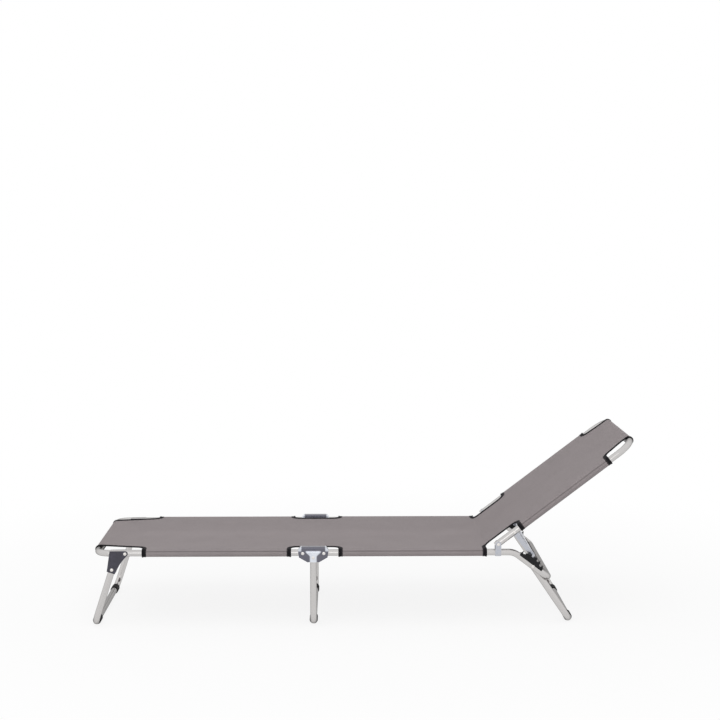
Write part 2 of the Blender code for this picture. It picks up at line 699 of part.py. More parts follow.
def build_backrest(root, fold_along, metal, steel, cloth):
    """The backrest: one U-shaped tube hinged in the brackets, with its part of the sling."""
    axis = axis_empty("backrest_axis", root, BACK_PIVOT, -RECLINE)
    head_x = BACK_LENGTH - TUBE_RADIUS
    frame = piece(
        "back_frame",
        tube(u_frame(-RAIL_END, head_x, 0.0, 0.0, TRACK, BACK_CORNER_RADIUS)),
        metal,
        axis,
    )
    reach = TRACK + 2 * TUBE_RADIUS
    cut(
        frame,
        drill(0.0, 0.0, HOLE_RADIUS, -reach, reach),
        drill(PROP_REACH, 0.0, HOLE_RADIUS, -reach, reach),
    )
    hem = min(NOTCH_EDGE, TRACK - BACK_CORNER_RADIUS)
    stations = [(fold_along + SLING_SEAM_GAP, NOTCH_EDGE, False), *notch_corner(BACK_SLEEVE_START, 1.0)]
    middle = (BACK_SLEEVE_START + BACK_SLEEVE_END) / 2
    stations += [(x, TRACK, True) for x in (BACK_SLEEVE_START, middle, BACK_SLEEVE_END)]
    stations += [*reversed(notch_corner(BACK_SLEEVE_END, -1.0)), (head_x - 2 * TUBE_RADIUS, hem, False)]
    sling("sling_back", stations, cloth, axis, (head_x, 1.0))
    return axis


def build_prop(backrest, metal, steel):
    """The prop: two flat arms on the backrest and the bar that lies in the racks."""
    lean = prop_bar_place(RECLINE)[2]
    turn = REAR_SLOPE + lean - math.pi / 2 + RECLINE
    axis = axis_empty("prop_axis", backrest, (PROP_REACH, 0.0, 0.0), turn)
    half = PROP_ARM_WIDTH / 2
    foot = (0.0, -PROP_LENGTH)
    outline = arc((0.0, 0.0), half, 0.0, 180.0, 8) + arc(foot, half, 180.0, 360.0, 8)
    outer = TRACK - TUBE_RADIUS - PROP_ARM_GAP
    inner = outer - PROP_ARM_THICKNESS
    bar_end = TRACK + RACK_WIDTH / 2 - RACK_WALL - PROP_ARM_GAP
    ends = [Vector((foot[0], side * bar_end, foot[1])) for side in SIDES.values()]
    piece("prop_bar", tube(ends, PROP_BAR_RADIUS), metal, axis)
    for label, side in SIDES.items():
        low, high = span(side, inner, outer)
        arm = piece(f"prop_arm_{label}", prism(outline, low, high), steel, axis)
        cut(
            arm,
            drill(0.0, 0.0, HOLE_RADIUS, low - SHEET_METAL, high + SHEET_METAL),
            drill(*foot, PROP_BAR_RADIUS + CLEARANCE, low - SHEET_METAL, high + SHEET_METAL),
        )
        rivet(f"prop_rivet_{label}", 0.0, 0.0, *span(side, inner, TRACK + TUBE_RADIUS), steel, axis)


def main():
    """Build every body on its joint's axis."""
    clear_scene()
    metal = finish("bare_aluminium", (0.62, 0.61, 0.59), 0.32, 1.0)
    steel = finish("zinc_plated_steel", (0.66, 0.68, 0.72), 0.28, 1.0)
    paint = finish("dark_paint", (0.06, 0.06, 0.075), 0.45, 0.0)
    plastic = finish("black_plastic", (0.025, 0.025, 0.028), 0.55, 0.0)
    rubber = finish("foot_rubber", (0.03, 0.03, 0.032), 0.8, 0.0)
    cloth = finish("taupe_sling", (0.29, 0.258, 0.26), 0.8, 0.0)
    root = axis_empty("lounger", None, (overall_shift(), 0.0, 0.0))
    ground = [(-2.0, -0.1), (2.0, -0.1), (2.0, 0.0), (-2.0, 0.0)]
    floor = piece("floor_cutter", prism(ground, -1.0, 1.0), rubber, root)
    floor.hide_render = True
    floor.display_type = "WIRE"
    fold_along = build_seat(root, metal, steel, plastic, cloth)
    mid_hinge = build_mid_hinge(root, metal, steel, rubber, cloth, floor)
    foot_section = build_foot_section(mid_hinge, metal, cloth)
    build_foot_leg(foot_section, metal, paint, steel, rubber, floor)
    build_rear_leg(root, metal, plastic, steel, rubber, floor)
    backrest = build_backrest(root, fold_along, metal, steel, cloth)
    build_prop(backrest, metal, steel)


main()
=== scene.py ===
"""Looks for a folding sun lounger: tubes, brackets, rivets, floor pads, racks and a bound sling on its frame.

Metres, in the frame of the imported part: +X towards the head end, -Y the near side, +Z up.
"""

from __future__ import annotations

import logging
import math
from dataclasses import dataclass, field
from enum import Enum
from typing import Any, Iterable, Sequence

import bmesh
import bpy
from mathutils import Matrix, Vector
from mathutils.geometry import delaunay_2d_cdt

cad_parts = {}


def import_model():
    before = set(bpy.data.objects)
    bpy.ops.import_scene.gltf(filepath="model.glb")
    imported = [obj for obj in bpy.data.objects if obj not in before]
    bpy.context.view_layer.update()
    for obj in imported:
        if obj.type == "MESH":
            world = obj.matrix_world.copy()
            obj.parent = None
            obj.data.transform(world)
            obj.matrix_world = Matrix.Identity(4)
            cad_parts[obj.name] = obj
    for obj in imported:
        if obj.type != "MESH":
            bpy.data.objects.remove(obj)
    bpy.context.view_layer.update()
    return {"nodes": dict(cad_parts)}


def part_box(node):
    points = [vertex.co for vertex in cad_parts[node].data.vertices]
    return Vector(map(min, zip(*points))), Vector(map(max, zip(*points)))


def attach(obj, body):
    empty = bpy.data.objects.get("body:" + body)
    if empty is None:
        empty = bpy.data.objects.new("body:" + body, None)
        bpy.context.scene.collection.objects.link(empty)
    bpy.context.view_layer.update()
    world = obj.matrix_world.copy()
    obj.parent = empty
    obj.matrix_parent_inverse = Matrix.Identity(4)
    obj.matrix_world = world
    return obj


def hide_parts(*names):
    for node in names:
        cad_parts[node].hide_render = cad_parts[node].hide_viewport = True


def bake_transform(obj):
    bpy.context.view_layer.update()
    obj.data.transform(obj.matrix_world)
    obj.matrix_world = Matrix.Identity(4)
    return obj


LOG = logging.getLogger("lounger")
Point = tuple[float, float]
Colour = tuple[float, float, float]
WHITE = (1.0, 1.0, 1.0, 1.0)
SHARP_ANGLE = 38.0
ROUND_STEPS = 5
MIX_SHARE, MIX_FIRST, MIX_SECOND, MIX_RESULT = 0, 6, 7, 2


def soft_step(value: float, width: float) -> float:
    """A smooth step from 0 to 1 over a width."""
    share = min(1.0, max(0.0, value / width))
    return share * share * (3 - 2 * share)


def quarter_turns() -> list[float]:
    """Angles between the ends of a quarter turn, for a rounded edge."""
    return [math.pi / 2 * step / ROUND_STEPS for step in range(1, ROUND_STEPS)]


def hang(piece: bpy.types.Object, nodes: Sequence[str], body: str) -> None:
    """Let a finished piece stand for nodes of the frame and ride on their body.

    Args:
        piece: The finished piece.
        nodes: Names of the nodes that it replaces.
        body: The body that it moves with.
    """
    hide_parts(*nodes)
    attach(piece, body)
    LOG.info("%s: %d faces", piece.name, len(piece.data.polygons))


class Side(Enum):
    """The two long sides of the lounger."""

    NEAR = -1.0
    FAR = 1.0

    @property
    def label(self) -> str:
        """The side's word in a node's name."""
        return self.name.lower()


class Sheet:
    """Adds nodes to one node tree."""

    def __init__(self, tree: bpy.types.NodeTree) -> None:
        """Take the tree that the nodes go into."""
        self.tree = tree

    def add(
        self,
        kind: str,
        settings: dict[str, Any] | None = None,
        sockets: dict[str | int, Any] | None = None,
    ) -> bpy.types.Node:
        """Add a node, set its settings first, then fill or link its inputs.

        Args:
            kind: The node's type, such as ShaderNodeBump.
            settings: Properties of the node by name.
            sockets: Values, sockets or wires by the input's name or number.

        Returns:
            The new node.
        """
        node = self.tree.nodes.new(kind)
        for name, value in (settings or {}).items():
            setattr(node, name, value)
        for key, value in (sockets or {}).items():
            self.feed(node.inputs[key], value)
        return node

    def feed(self, target: bpy.types.NodeSocket, value: Any) -> None:
        """Link a wire or a socket to an input, or set the input's own value.

        Args:
            target: The input.
            value: A wire, a socket or a plain value.
        """
        if isinstance(value, Wire):
            self.tree.links.new(value.socket, target)
        elif isinstance(value, bpy.types.NodeSocket):
            self.tree.links.new(value, target)
        else:
            target.default_value = value

    def wire(
        self,
        kind: str,
        settings: dict[str, Any] | None = None,
        sockets: dict[str | int, Any] | None = None,
        output: str | int = 0,
    ) -> Wire:
        """Add a node and return one of its outputs as a wire."""
        return Wire(self, self.add(kind, settings, sockets).outputs[output])

    def noise(self, place: Wire, scale: float, detail: float = 3.0, roughness: float = 0.55) -> Wire:
        """Noise from 0 to 1 over a coordinate.

        Args:
            place: The coordinate.
            scale: How many features fit in a metre.
            detail: How many finer layers there are.
            roughness: How strong the finer layers are.

        Returns:
            The noise's value.
        """
        values = {"Vector": place, "Scale": scale, "Detail": detail, "Roughness": roughness}
        return self.wire("ShaderNodeTexNoise", None, values, "Fac")

    def tint(self, share: Wire, low: Colour | Wire, high: Colour) -> Wire:
        """A colour between two others, by a share from 0 to 1.

        Args:
            share: How much of the second colour there is.
            low: The first colour, or a wire that carries it.
            high: The second colour.

        Returns:
            The mixed colour.
        """
        first = low if isinstance(low, Wire) else (*low, 1.0)
        sockets = {MIX_SHARE: share, MIX_FIRST: first, MIX_SECOND: (*high, 1.0)}
        return self.wire("ShaderNodeMix", {"data_type": "RGBA"}, sockets, MIX_RESULT)

    def stretch(self, place: Wire, scale: Sequence[float]) -> Wire:
        """A coordinate with its own scale along each axis."""
        return self.wire("ShaderNodeMapping", None, {"Vector": place, "Scale": tuple(scale)})

    def objects_place(self) -> Wire:
        """The coordinate of the piece's own mesh."""
        return self.wire("ShaderNodeTexCoord", None, None, "Object")

    def attribute(self, name: str) -> Wire:
        """A number that is stored on the mesh."""
        return self.wire("ShaderNodeAttribute", {"attribute_name": name}, None, "Fac")

    def bump(self, height: Wire, distance: float, strength: float) -> Wire:
        """A normal that is tilted by a height."""
        values = {"Height": height, "Distance": distance, "Strength": strength}
        return self.wire("ShaderNodeBump", None, values, "Normal")


class Wire:
    """A number on its way through a shader: sums of wires add Math nodes."""

    def __init__(self, sheet: Sheet, socket: bpy.types.NodeSocket) -> None:
        """Wrap one output of a node."""
        self.sheet = sheet
        self.socket = socket

    def _math(self, operation: str, first: Any, second: Any = 0.0, clamp: bool = False) -> Wire:
        """Add one Math node."""
        settings = {"operation": operation, "use_clamp": clamp}
        return self.sheet.wire("ShaderNodeMath", settings, {0: first, 1: second})

    def __add__(self, other: Wire | float) -> Wire:
        """Sum."""
        return self._math("ADD", self, other)

    def __radd__(self, other: float) -> Wire:
        """Sum with a number in front."""
        return self._math("ADD", other, self)

    def __sub__(self, other: Wire | float) -> Wire:
        """Difference."""
        return self._math("SUBTRACT", self, other)

    def __rsub__(self, other: float) -> Wire:
        """Difference from a number."""
        return self._math("SUBTRACT", other, self)

    def __mul__(self, other: Wire | float) -> Wire:
        """Product."""
        return self._math("MULTIPLY", self, other)

    def __rmul__(self, other: float) -> Wire:
        """Product with a number in front."""
        return self._math("MULTIPLY", other, self)

    def __abs__(self) -> Wire:
        """Size without its sign."""
        return self._math("ABSOLUTE", self)

    def __gt__(self, other: Wire | float) -> Wire:
        """1 where this is the greater, 0 elsewhere."""
        return self._math("GREATER_THAN", self, other)

    def sine(self) -> Wire:
        """Sine of an angle in radians."""
        return self._math("SINE", self)

    def clamped(self) -> Wire:
        """The value held between 0 and 1."""
        return self._math("ADD", self, 0.0, True)

    def ramp(self, low: float, high: float) -> Wire:
        """0 below the low value and 1 above the high one, with a smooth step between."""
        values = {"Value": self, "From Min": low, "From Max": high, "To Min": 0.0, "To Max": 1.0}
        return self.sheet.wire("ShaderNodeMapRange", {"interpolation_type": "SMOOTHSTEP"}, values)


@dataclass(frozen=True)
class Finish:
    """What every surface finish has."""

    name: str
    colour: Colour
    roughness: float
    metallic: float = 0.0
    specular: float = 0.5
    edge: float = 1.0

    def make(self) -> bpy.types.Material:
        """Build the material.

        Returns:
            A material with one Principled shader.
        """
        material = bpy.data.materials.new(self.name)
        material.use_nodes = True
        material.diffuse_color = (*self.colour, 1.0)
        shader = material.node_tree.nodes["Principled BSDF"]
        shader.inputs["Base Color"].default_value = (*self.colour, 1.0)
        shader.inputs["Roughness"].default_value = self.roughness
        shader.inputs["Metallic"].default_value = self.metallic
        shader.inputs["Specular IOR Level"].default_value = self.specular
        shader.inputs["Specular Tint"].default_value = (self.edge, self.edge, self.edge, 1.0)
        self.dress(Sheet(material.node_tree), shader)
        return material

    def dress(self, sheet: Sheet, shader: bpy.types.Node) -> None:
        """Add what changes over the surface."""

    def shade(self, factor: float) -> Colour:
        """The finish's own colour, lighter or darker."""
        red, green, blue = (min(1.0, part * factor) for part in self.colour)
        return red, green, blue


@dataclass(frozen=True)
class DrawnTube(Finish):
    """Bare drawn aluminium tube: fine lines along its run, faint clouds and handling marks.

    The edge value darkens the gloss where the tube curves away.
    """

    edge: float = 0.4
    line_count: float = 800.0
    line_stretch: float = 60.0
    line_depth: float = 0.00003
    line_bump: float = 0.12
    line_tone: float = 0.4
    line_haze: float = 0.05
    cloud_count: float = 14.0
    cloud_tone: float = 0.25
    base_tone: float = 0.35
    mark_count: float = 75.0
    mark_from: float = 0.56
    mark_to: float = 0.72
    mark_haze: float = 0.03
    polish: float = 0.03
    darkest: float = 0.88
    lightest: float = 1.1

    def dress(self, sheet: Sheet, shader: bpy.types.Node) -> None:
        """Lines along the tube, from the run and ring stored on its mesh.

        Args:
            sheet: Adds the nodes.
            shader: The finish's Principled shader.
        """
        run = sheet.attribute("run")
        ring = sheet.wire("ShaderNodeAttribute", {"attribute_name": "ring"}, None, "Vector")
        across = sheet.add("ShaderNodeSeparateXYZ", None, {0: ring})
        spread = {0: across.outputs[0], 1: across.outputs[1], 2: run * (1.0 / self.line_stretch)}
        around = sheet.wire("ShaderNodeCombineXYZ", None, spread)
        lines = sheet.noise(around, self.line_count, detail=6.0, roughness=0.7)
        place = sheet.objects_place()
        clouds = sheet.noise(place, self.cloud_count, detail=4.0)
        marks = sheet.noise(place, self.mark_count, detail=5.0, roughness=0.65)
        marks = marks.ramp(self.mark_from, self.mark_to)
        tone = (self.base_tone + self.line_tone * lines + self.cloud_tone * clouds).clamped()
        colour = sheet.tint(tone, self.shade(self.darkest), self.shade(self.lightest))
        haze = self.roughness - self.polish + self.line_haze * lines + self.mark_haze * marks
        sheet.feed(shader.inputs["Base Color"], colour)
        sheet.feed(shader.inputs["Roughness"], haze)
        sheet.feed(shader.inputs["Normal"], sheet.bump(lines, self.line_depth, self.line_bump))


@dataclass(frozen=True)
class ZincPlate(Finish):
    """Zinc-plated steel: a cool sheen with faint crystal patches, and a painted highlight with a smoother
    gloss where its mesh marks one.
    """

    patch_count: float = 190.0
    patch_tone: float = 0.45
    patch_haze: float = 0.05
    cloud_count: float = 45.0
    cloud_tone: float = 0.55
    cloud_haze: float = 0.12
    polish: float = 0.06
    cool: float = 0.9
    warm: Colour = (1.14, 1.08, 1.0)
    # pale colour of the painted highlight
    rubbed: Colour = (0.74, 0.77, 0.83)
    rub_least: float = 0.75
    rub_cloud: float = 0.5
    rub_polish: float = 0.06
    scratch_count: tuple[float, float, float] = (40.0, 900.0, 900.0)
    scratch_depth: float = 0.00006
    scratch_bump: float = 0.4

    def dress(self, sheet: Sheet, shader: bpy.types.Node) -> None:
        """Crystal patches, warm and cool clouds, fine scratches, and a painted highlight where the mesh marks
        one.

        Args:
            sheet: Adds the nodes.
            shader: The finish's Principled shader.
        """
        place = sheet.objects_place()
        cells = {"Vector": place, "Scale": self.patch_count}
        patches = sheet.wire("ShaderNodeTexVoronoi", {"feature": "F1"}, cells, "Color")
        grey = sheet.wire("ShaderNodeRGBToBW", None, {0: patches})
        clouds = sheet.noise(place, self.cloud_count)
        tone = (self.patch_tone * grey + self.cloud_tone * clouds).clamped()
        red, green, blue = (min(1.0, part * gain) for part, gain in zip(self.colour, self.warm))
        plain = sheet.tint(tone, self.shade(self.cool), (red, green, blue))
        # painted highlight: a pale colour with less roughness where the mesh's stored mask is set, on the
        # channel's raised flare and end bevels
        rub = (sheet.attribute("rub") * (self.rub_least + self.rub_cloud * clouds)).clamped()
        haze = self.roughness - self.polish + self.cloud_haze * clouds + self.patch_haze * grey
        scratches = sheet.noise(sheet.stretch(place, self.scratch_count), 1.0, detail=2.0)
        relief = sheet.bump(scratches + clouds, self.scratch_depth, self.scratch_bump)
        sheet.feed(shader.inputs["Base Color"], sheet.tint(rub, plain, self.rubbed))
        sheet.feed(shader.inputs["Roughness"], haze - self.rub_polish * rub)
        sheet.feed(shader.inputs["Normal"], relief)


@dataclass(frozen=True)
class PaintedPlate(Finish):
    """Dark stoved paint with a faint orange peel and dusty, rubbed patches."""

    peel_count: float = 900.0
    peel_depth: float = 0.00008
    peel_bump: float = 0.5
    dust_count: float = 60.0
    dust_from: float = 0.45
    dust_to: float = 0.75
    dust_share: float = 0.5
    dust_tone: float = 1.9
    dust_haze: float = 0.16

    def dress(self, sheet: Sheet, shader: bpy.types.Node) -> None:
        """Orange peel in the normal, dust in the colour.

        Args:
            sheet: Adds the nodes.
            shader: The finish's Principled shader.
        """
        place = sheet.objects_place()
        peel = sheet.noise(place, self.peel_count, detail=1.0)
        dust = sheet.noise(place, self.dust_count, detail=5.0).ramp(self.dust_from, self.dust_to)
        colour = sheet.tint(dust * self.dust_share, self.colour, self.shade(self.dust_tone))
        sheet.feed(shader.inputs["Base Color"], colour)
        sheet.feed(shader.inputs["Roughness"], self.roughness + self.dust_haze * dust)
        sheet.feed(shader.inputs["Normal"], sheet.bump(peel, self.peel_depth, self.peel_bump))


@dataclass(frozen=True)
class MouldedGrain(Finish):
    """Moulded plastic or rubber with a fine grain, scuffed lighter in places."""

    grain_count: float = 1400.0
    grain_depth: float = 0.0001
    grain_bump: float = 0.6
    grain_polish: float = 0.06
    scuff: float = 2.4
    scuff_count: tuple[float, float, float] = (60.0, 130.0, 60.0)
    scuff_from: float = 0.5
    scuff_to: float = 0.78
    scuff_share: float = 0.6
    scuff_haze: float = 0.2

    def dress(self, sheet: Sheet, shader: bpy.types.Node) -> None:
        """Grain in the normal, scuffs in the colour and roughness.

        Args:
            sheet: Adds the nodes.
            shader: The finish's Principled shader.
        """
        place = sheet.objects_place()
        grain = sheet.noise(place, self.grain_count, detail=2.0)
        scuffs = sheet.noise(sheet.stretch(place, self.scuff_count), 1.0, detail=6.0, roughness=0.7)
        scuffs = scuffs.ramp(self.scuff_from, self.scuff_to)
        colour = sheet.tint(scuffs * self.scuff_share, self.colour, self.shade(self.scuff))
        haze = self.roughness + self.scuff_haze * scuffs - self.grain_polish * grain
        sheet.feed(shader.inputs["Base Color"], colour)
        sheet.feed(shader.inputs["Roughness"], haze)
        sheet.feed(shader.inputs["Normal"], sheet.bump(grain, self.grain_depth, self.grain_bump))


@dataclass(frozen=True)
class FloorRubber(MouldedGrain):
    """Rubber of the floor pads, dusty where it meets the ground."""

    grain_depth: float = 0.00012
    grain_polish: float = 0.05
    dust_height: float = 0.006
    dust_colour: Colour = (0.16, 0.15, 0.14)
    dust_count: float = 220.0
    dust_from: float = 0.3
    dust_to: float = 0.65
    dust_share: float = 0.7
    dust_haze: float = 0.1

    def dress(self, sheet: Sheet, shader: bpy.types.Node) -> None:
        """Grain, and ground dust near the sole.

        Args:
            sheet: Adds the nodes.
            shader: The finish's Principled shader.
        """
        place = sheet.objects_place()
        grain = sheet.noise(place, self.grain_count, detail=2.0)
        height = sheet.wire("ShaderNodeSeparateXYZ", None, {0: place}, "Z")
        patchy = sheet.noise(place, self.dust_count, detail=4.0).ramp(self.dust_from, self.dust_to)
        dust = ((1.0 - height.ramp(0.0, self.dust_height)) * patchy).clamped()
        colour = sheet.tint(dust * self.dust_share, self.colour, self.dust_colour)
        haze = self.roughness + self.dust_haze * dust - self.grain_polish * grain
        sheet.feed(shader.inputs["Base Color"], colour)
        sheet.feed(shader.inputs["Roughness"], haze)
        sheet.feed(shader.inputs["Normal"], sheet.bump(grain, self.grain_depth, self.grain_bump))


@dataclass(frozen=True)
class WovenYarn(Finish):
    """Cloth of coated yarn in a plain weave, on the cloth's own map in metres."""

    pitch: float = 0.0015
    relief: float = 0.0003
    relief_bump: float = 0.55
    relief_haze: float = 0.12
    contrast: float = 0.22
    mean_height: float = 0.64
    yarn_count: float = 700.0
    yarn_stretch: float = 9.0
    yarn_tone: float = 0.5
    cloud_count: float = 9.0
    cloud_tone: float = 0.24
    # how much the painted shade along the seam darkens the cloth
    seam_soil: float = 0.62
    darkest: float = 0.72
    lightest: float = 1.28

    def dress(self, sheet: Sheet, shader: bpy.types.Node) -> None:
        """Yarns over and under each other, with slow changes of tone along them, painted shade in the weave's
        hollows and painted shade along the stitched seam.

        Args:
            sheet: Adds the nodes.
            shader: The finish's Principled shader.
        """
        flat = sheet.wire("ShaderNodeUVMap", {"uv_map": "cloth"})
        axes = sheet.add("ShaderNodeSeparateXYZ", None, {0: flat})
        turns = math.pi / self.pitch
        along = (Wire(sheet, axes.outputs[0]) * turns).sine()
        across = (Wire(sheet, axes.outputs[1]) * turns).sine()
        over = along * across > 0.0
        height = over * abs(along) + (1.0 - over) * abs(across)
        slubs = sheet.noise(sheet.stretch(flat, (self.yarn_stretch, self.yarn_count, 1.0)), 1.0, detail=2.0)
        threads = sheet.noise(sheet.stretch(flat, (self.yarn_count, self.yarn_stretch, 1.0)), 1.0, detail=2.0)
        clouds = sheet.noise(flat, self.cloud_count)
        mixed = over * slubs + (1.0 - over) * threads
        # darker where the yarns dip: painted shade in the weave's hollows
        yarn = self.contrast * (height - self.mean_height) + self.yarn_tone * (mixed - 0.5)
        slow = self.cloud_tone * (clouds - 0.5)
        # the stored seam value darkens the cloth along the stitched seam: painted shade in its groove
        tone = (0.5 + yarn + slow - self.seam_soil * sheet.attribute("seam")).clamped()
        colour = sheet.tint(tone, self.shade(self.darkest), self.shade(self.lightest))
        sheet.feed(shader.inputs["Base Color"], colour)
        sheet.feed(shader.inputs["Roughness"], self.roughness + self.relief_haze * (0.5 - height))
        sheet.feed(shader.inputs["Normal"], sheet.bump(height, self.relief, self.relief_bump))


@dataclass(frozen=True)
class PlainGround(Finish):
    """The pale studio floor."""

    specular: float = 0.0


@dataclass
class Wardrobe:
    """Every finish of the lounger, made once."""

    tube: bpy.types.Material = field(init=False)
    zinc: bpy.types.Material = field(init=False)
    channel: bpy.types.Material = field(init=False)
    rivet: bpy.types.Material = field(init=False)
    paint: bpy.types.Material = field(init=False)
    rack: bpy.types.Material = field(init=False)
    rubber: bpy.types.Material = field(init=False)
    cloth: bpy.types.Material = field(init=False)
    binding: bpy.types.Material = field(init=False)
    thread: bpy.types.Material = field(init=False)

    def __post_init__(self) -> None:
        """Make the materials."""
        self.tube = DrawnTube("drawn_aluminium", (0.575, 0.56, 0.552), 0.24, 1.0).make()
        self.zinc = ZincPlate("bright_zinc", (0.50, 0.53, 0.60), 0.25, 1.0).make()
        # the channel's zinc is given a dark colour: painted shade that stands for a dark reflection on its
        # faces
        self.channel = ZincPlate("channel_zinc", (0.148, 0.152, 0.19), 0.27, 1.0).make()
        self.rivet = ZincPlate("rivet_steel", (0.74, 0.74, 0.75), 0.2, 1.0, patch_count=600.0).make()
        self.paint = PaintedPlate("slate_paint", (0.04, 0.0385, 0.054), 0.42).make()
        self.rack = MouldedGrain("black_rack_plastic", (0.009, 0.009, 0.0105), 0.5, specular=0.22).make()
        self.rubber = FloorRubber("pad_rubber", (0.014, 0.014, 0.015), 0.78, specular=0.25).make()
        taupe = (0.299, 0.265, 0.269)
        black = (0.0105, 0.0095, 0.0115)
        dull = (0.12, 0.105, 0.107)
        self.cloth = WovenYarn("taupe_mesh", taupe, 0.84, specular=0.28, relief=0.00024).make()
        self.binding = WovenYarn("black_tape", black, 0.85, specular=0.15, pitch=0.0011, relief=0.0002).make()
        self.thread = MouldedGrain("seam_thread", dull, 0.8, grain_count=2500.0, scuff=1.3).make()


class PieceMaker:
    """Turns point lists into finished objects at the origin."""

    def from_bmesh(self, name: str, shape: bmesh.types.BMesh, finish: bpy.types.Material) -> bpy.types.Object:
        """Make an object of a bmesh, with its faces outwards and smooth but for its edges.

        Args:
            name: The piece's name.
            shape: The closed mesh, which is freed.
            finish: The piece's material.

        Returns:
            The new object, at the origin.
        """
        mesh = bpy.data.meshes.new(name)
        shape.to_mesh(mesh)
        shape.free()
        return self.from_mesh(name, mesh, finish)

    def from_mesh(
        self, name: str, mesh: bpy.types.Mesh, finish: bpy.types.Material, sharp: float = SHARP_ANGLE
    ) -> bpy.types.Object:
        """Make an object of a mesh with one material, smooth but for edges over an angle in degrees.

        Args:
            name: The piece's name.
            mesh: Its mesh, with its place in it.
            finish: Its material.
            sharp: Angle in degrees over which an edge stays sharp.

        Returns:
            The new object, at the origin.
        """
        mesh.shade_smooth()
        mesh.set_sharp_from_angle(angle=math.radians(sharp))
        mesh.materials.clear()
        mesh.materials.append(finish)
        item = bpy.data.objects.new(name, mesh)
        bpy.context.scene.collection.objects.link(item)
        return item

    def join(self, whole: bmesh.types.BMesh, shell: bmesh.types.BMesh) -> None:
        """Add a shell to a larger mesh, and free the shell.

        Args:
            whole: The larger mesh.
            shell: What is added to it.
        """
        part = bpy.data.meshes.new("part")
        shell.to_mesh(part)
        shell.free()
        whole.from_mesh(part)
        bpy.data.meshes.remove(part)

    def polyline(self, name: str, runs: Iterable[Sequence[Vector]]) -> bpy.types.Mesh:
        """A mesh of bare edges through runs of points.

        Args:
            name: The mesh's name.
            runs: Points of each run.

        Returns:
            The mesh.
        """
        points: list[Vector] = []
        edges: list[tuple[int, int]] = []
        for run in runs:
            first = len(points)
            points += list(run)
            edges += [(index, index + 1) for index in range(first, len(points) - 1)]
        mesh = bpy.data.meshes.new(name)
        mesh.from_pydata(points, edges, [])
        return mesh

    def loft(self, rings: Sequence[Sequence[Vector]], closed: bool = False) -> bmesh.types.BMesh:
        """Skin a row of rings of equal count, capped at its ends or joined in a loop.

        Args:
            rings: Points of each ring, in order.
            closed: Whether the last ring joins the first.

        Returns:
            The skinned shape, with its faces outwards.
        """
        shape = bmesh.new()
        loops = [[shape.verts.new(point) for point in ring] for ring in rings]
        pairs = list(zip(loops, loops[1:]))
        if closed:
            pairs.append((loops[-1], loops[0]))
        else:
            shape.faces.new(list(reversed(loops[0])))
            shape.faces.new(loops[-1])
        for low, high in pairs:
            for index, vert in enumerate(low):
                after = (index + 1) % len(low)
                shape.faces.new((vert, low[after], high[after], high[index]))
        bmesh.ops.recalc_face_normals(shape, faces=shape.faces)
        return shape


class NodeRecipe:
    """A Geometry Nodes tree that is run once and kept as a plain mesh."""

    def __init__(self, name: str, inputs: Sequence[tuple[str, str]]) -> None:
        """Make an empty tree.

        Args:
            name: The tree's name.
            inputs: Name and socket type of each input after the geometry.
        """
        self.tree = bpy.data.node_groups.new(name, "GeometryNodeTree")
        self.sheet = Sheet(self.tree)
        face = self.tree.interface
        face.new_socket("Geometry", in_out="INPUT", socket_type="NodeSocketGeometry")
        self.keys = {}
        for label, kind in inputs:
            self.keys[label] = face.new_socket(label, in_out="INPUT", socket_type=kind).identifier
        face.new_socket("Geometry", in_out="OUTPUT", socket_type="NodeSocketGeometry")
        self.source = self.sheet.add("NodeGroupInput")
        self.target = self.sheet.add("NodeGroupOutput")

    def given(self, label: str) -> bpy.types.NodeSocket:
        """One of the tree's inputs."""
        return self.source.outputs[label]

    def end_with(self, geometry: bpy.types.NodeSocket) -> None:
        """Close the tree: real geometry, then its material.

        Args:
            geometry: What the tree has made.
        """
        real = self.sheet.add("GeometryNodeRealizeInstances", None, {"Geometry": geometry})
        sockets = {"Geometry": real.outputs[0], "Material": self.given("Finish")}
        dressed = self.sheet.add("GeometryNodeSetMaterial", None, sockets)
        self.sheet.feed(self.target.inputs[0], dressed.outputs[0])

    def run(
        self, name: str, mesh: bpy.types.Mesh, values: dict[str, Any], sharp: float = SHARP_ANGLE
    ) -> bpy.types.Object:
        """Run the tree on a mesh.

        Args:
            name: The piece's name.
            mesh: What the tree starts from.
            values: The tree's inputs by name.
            sharp: Angle in degrees over which an edge stays sharp.

        Returns:
            The finished object, at the origin, with no modifier.
        """
        holder = bpy.data.objects.new(name + "_source", mesh)
        bpy.context.scene.collection.objects.link(holder)
        modifier = holder.modifiers.new("recipe", "NODES")
        modifier.node_group = self.tree
        for label, value in values.items():
            modifier[self.keys[label]] = value
        graph = bpy.context.evaluated_depsgraph_get()
        made = bpy.data.meshes.new_from_object(holder.evaluated_get(graph))
        bpy.data.objects.remove(holder)
        bpy.data.meshes.remove(mesh)
        made.name = name
        return PieceMaker().from_mesh(name, made, values["Finish"], sharp)


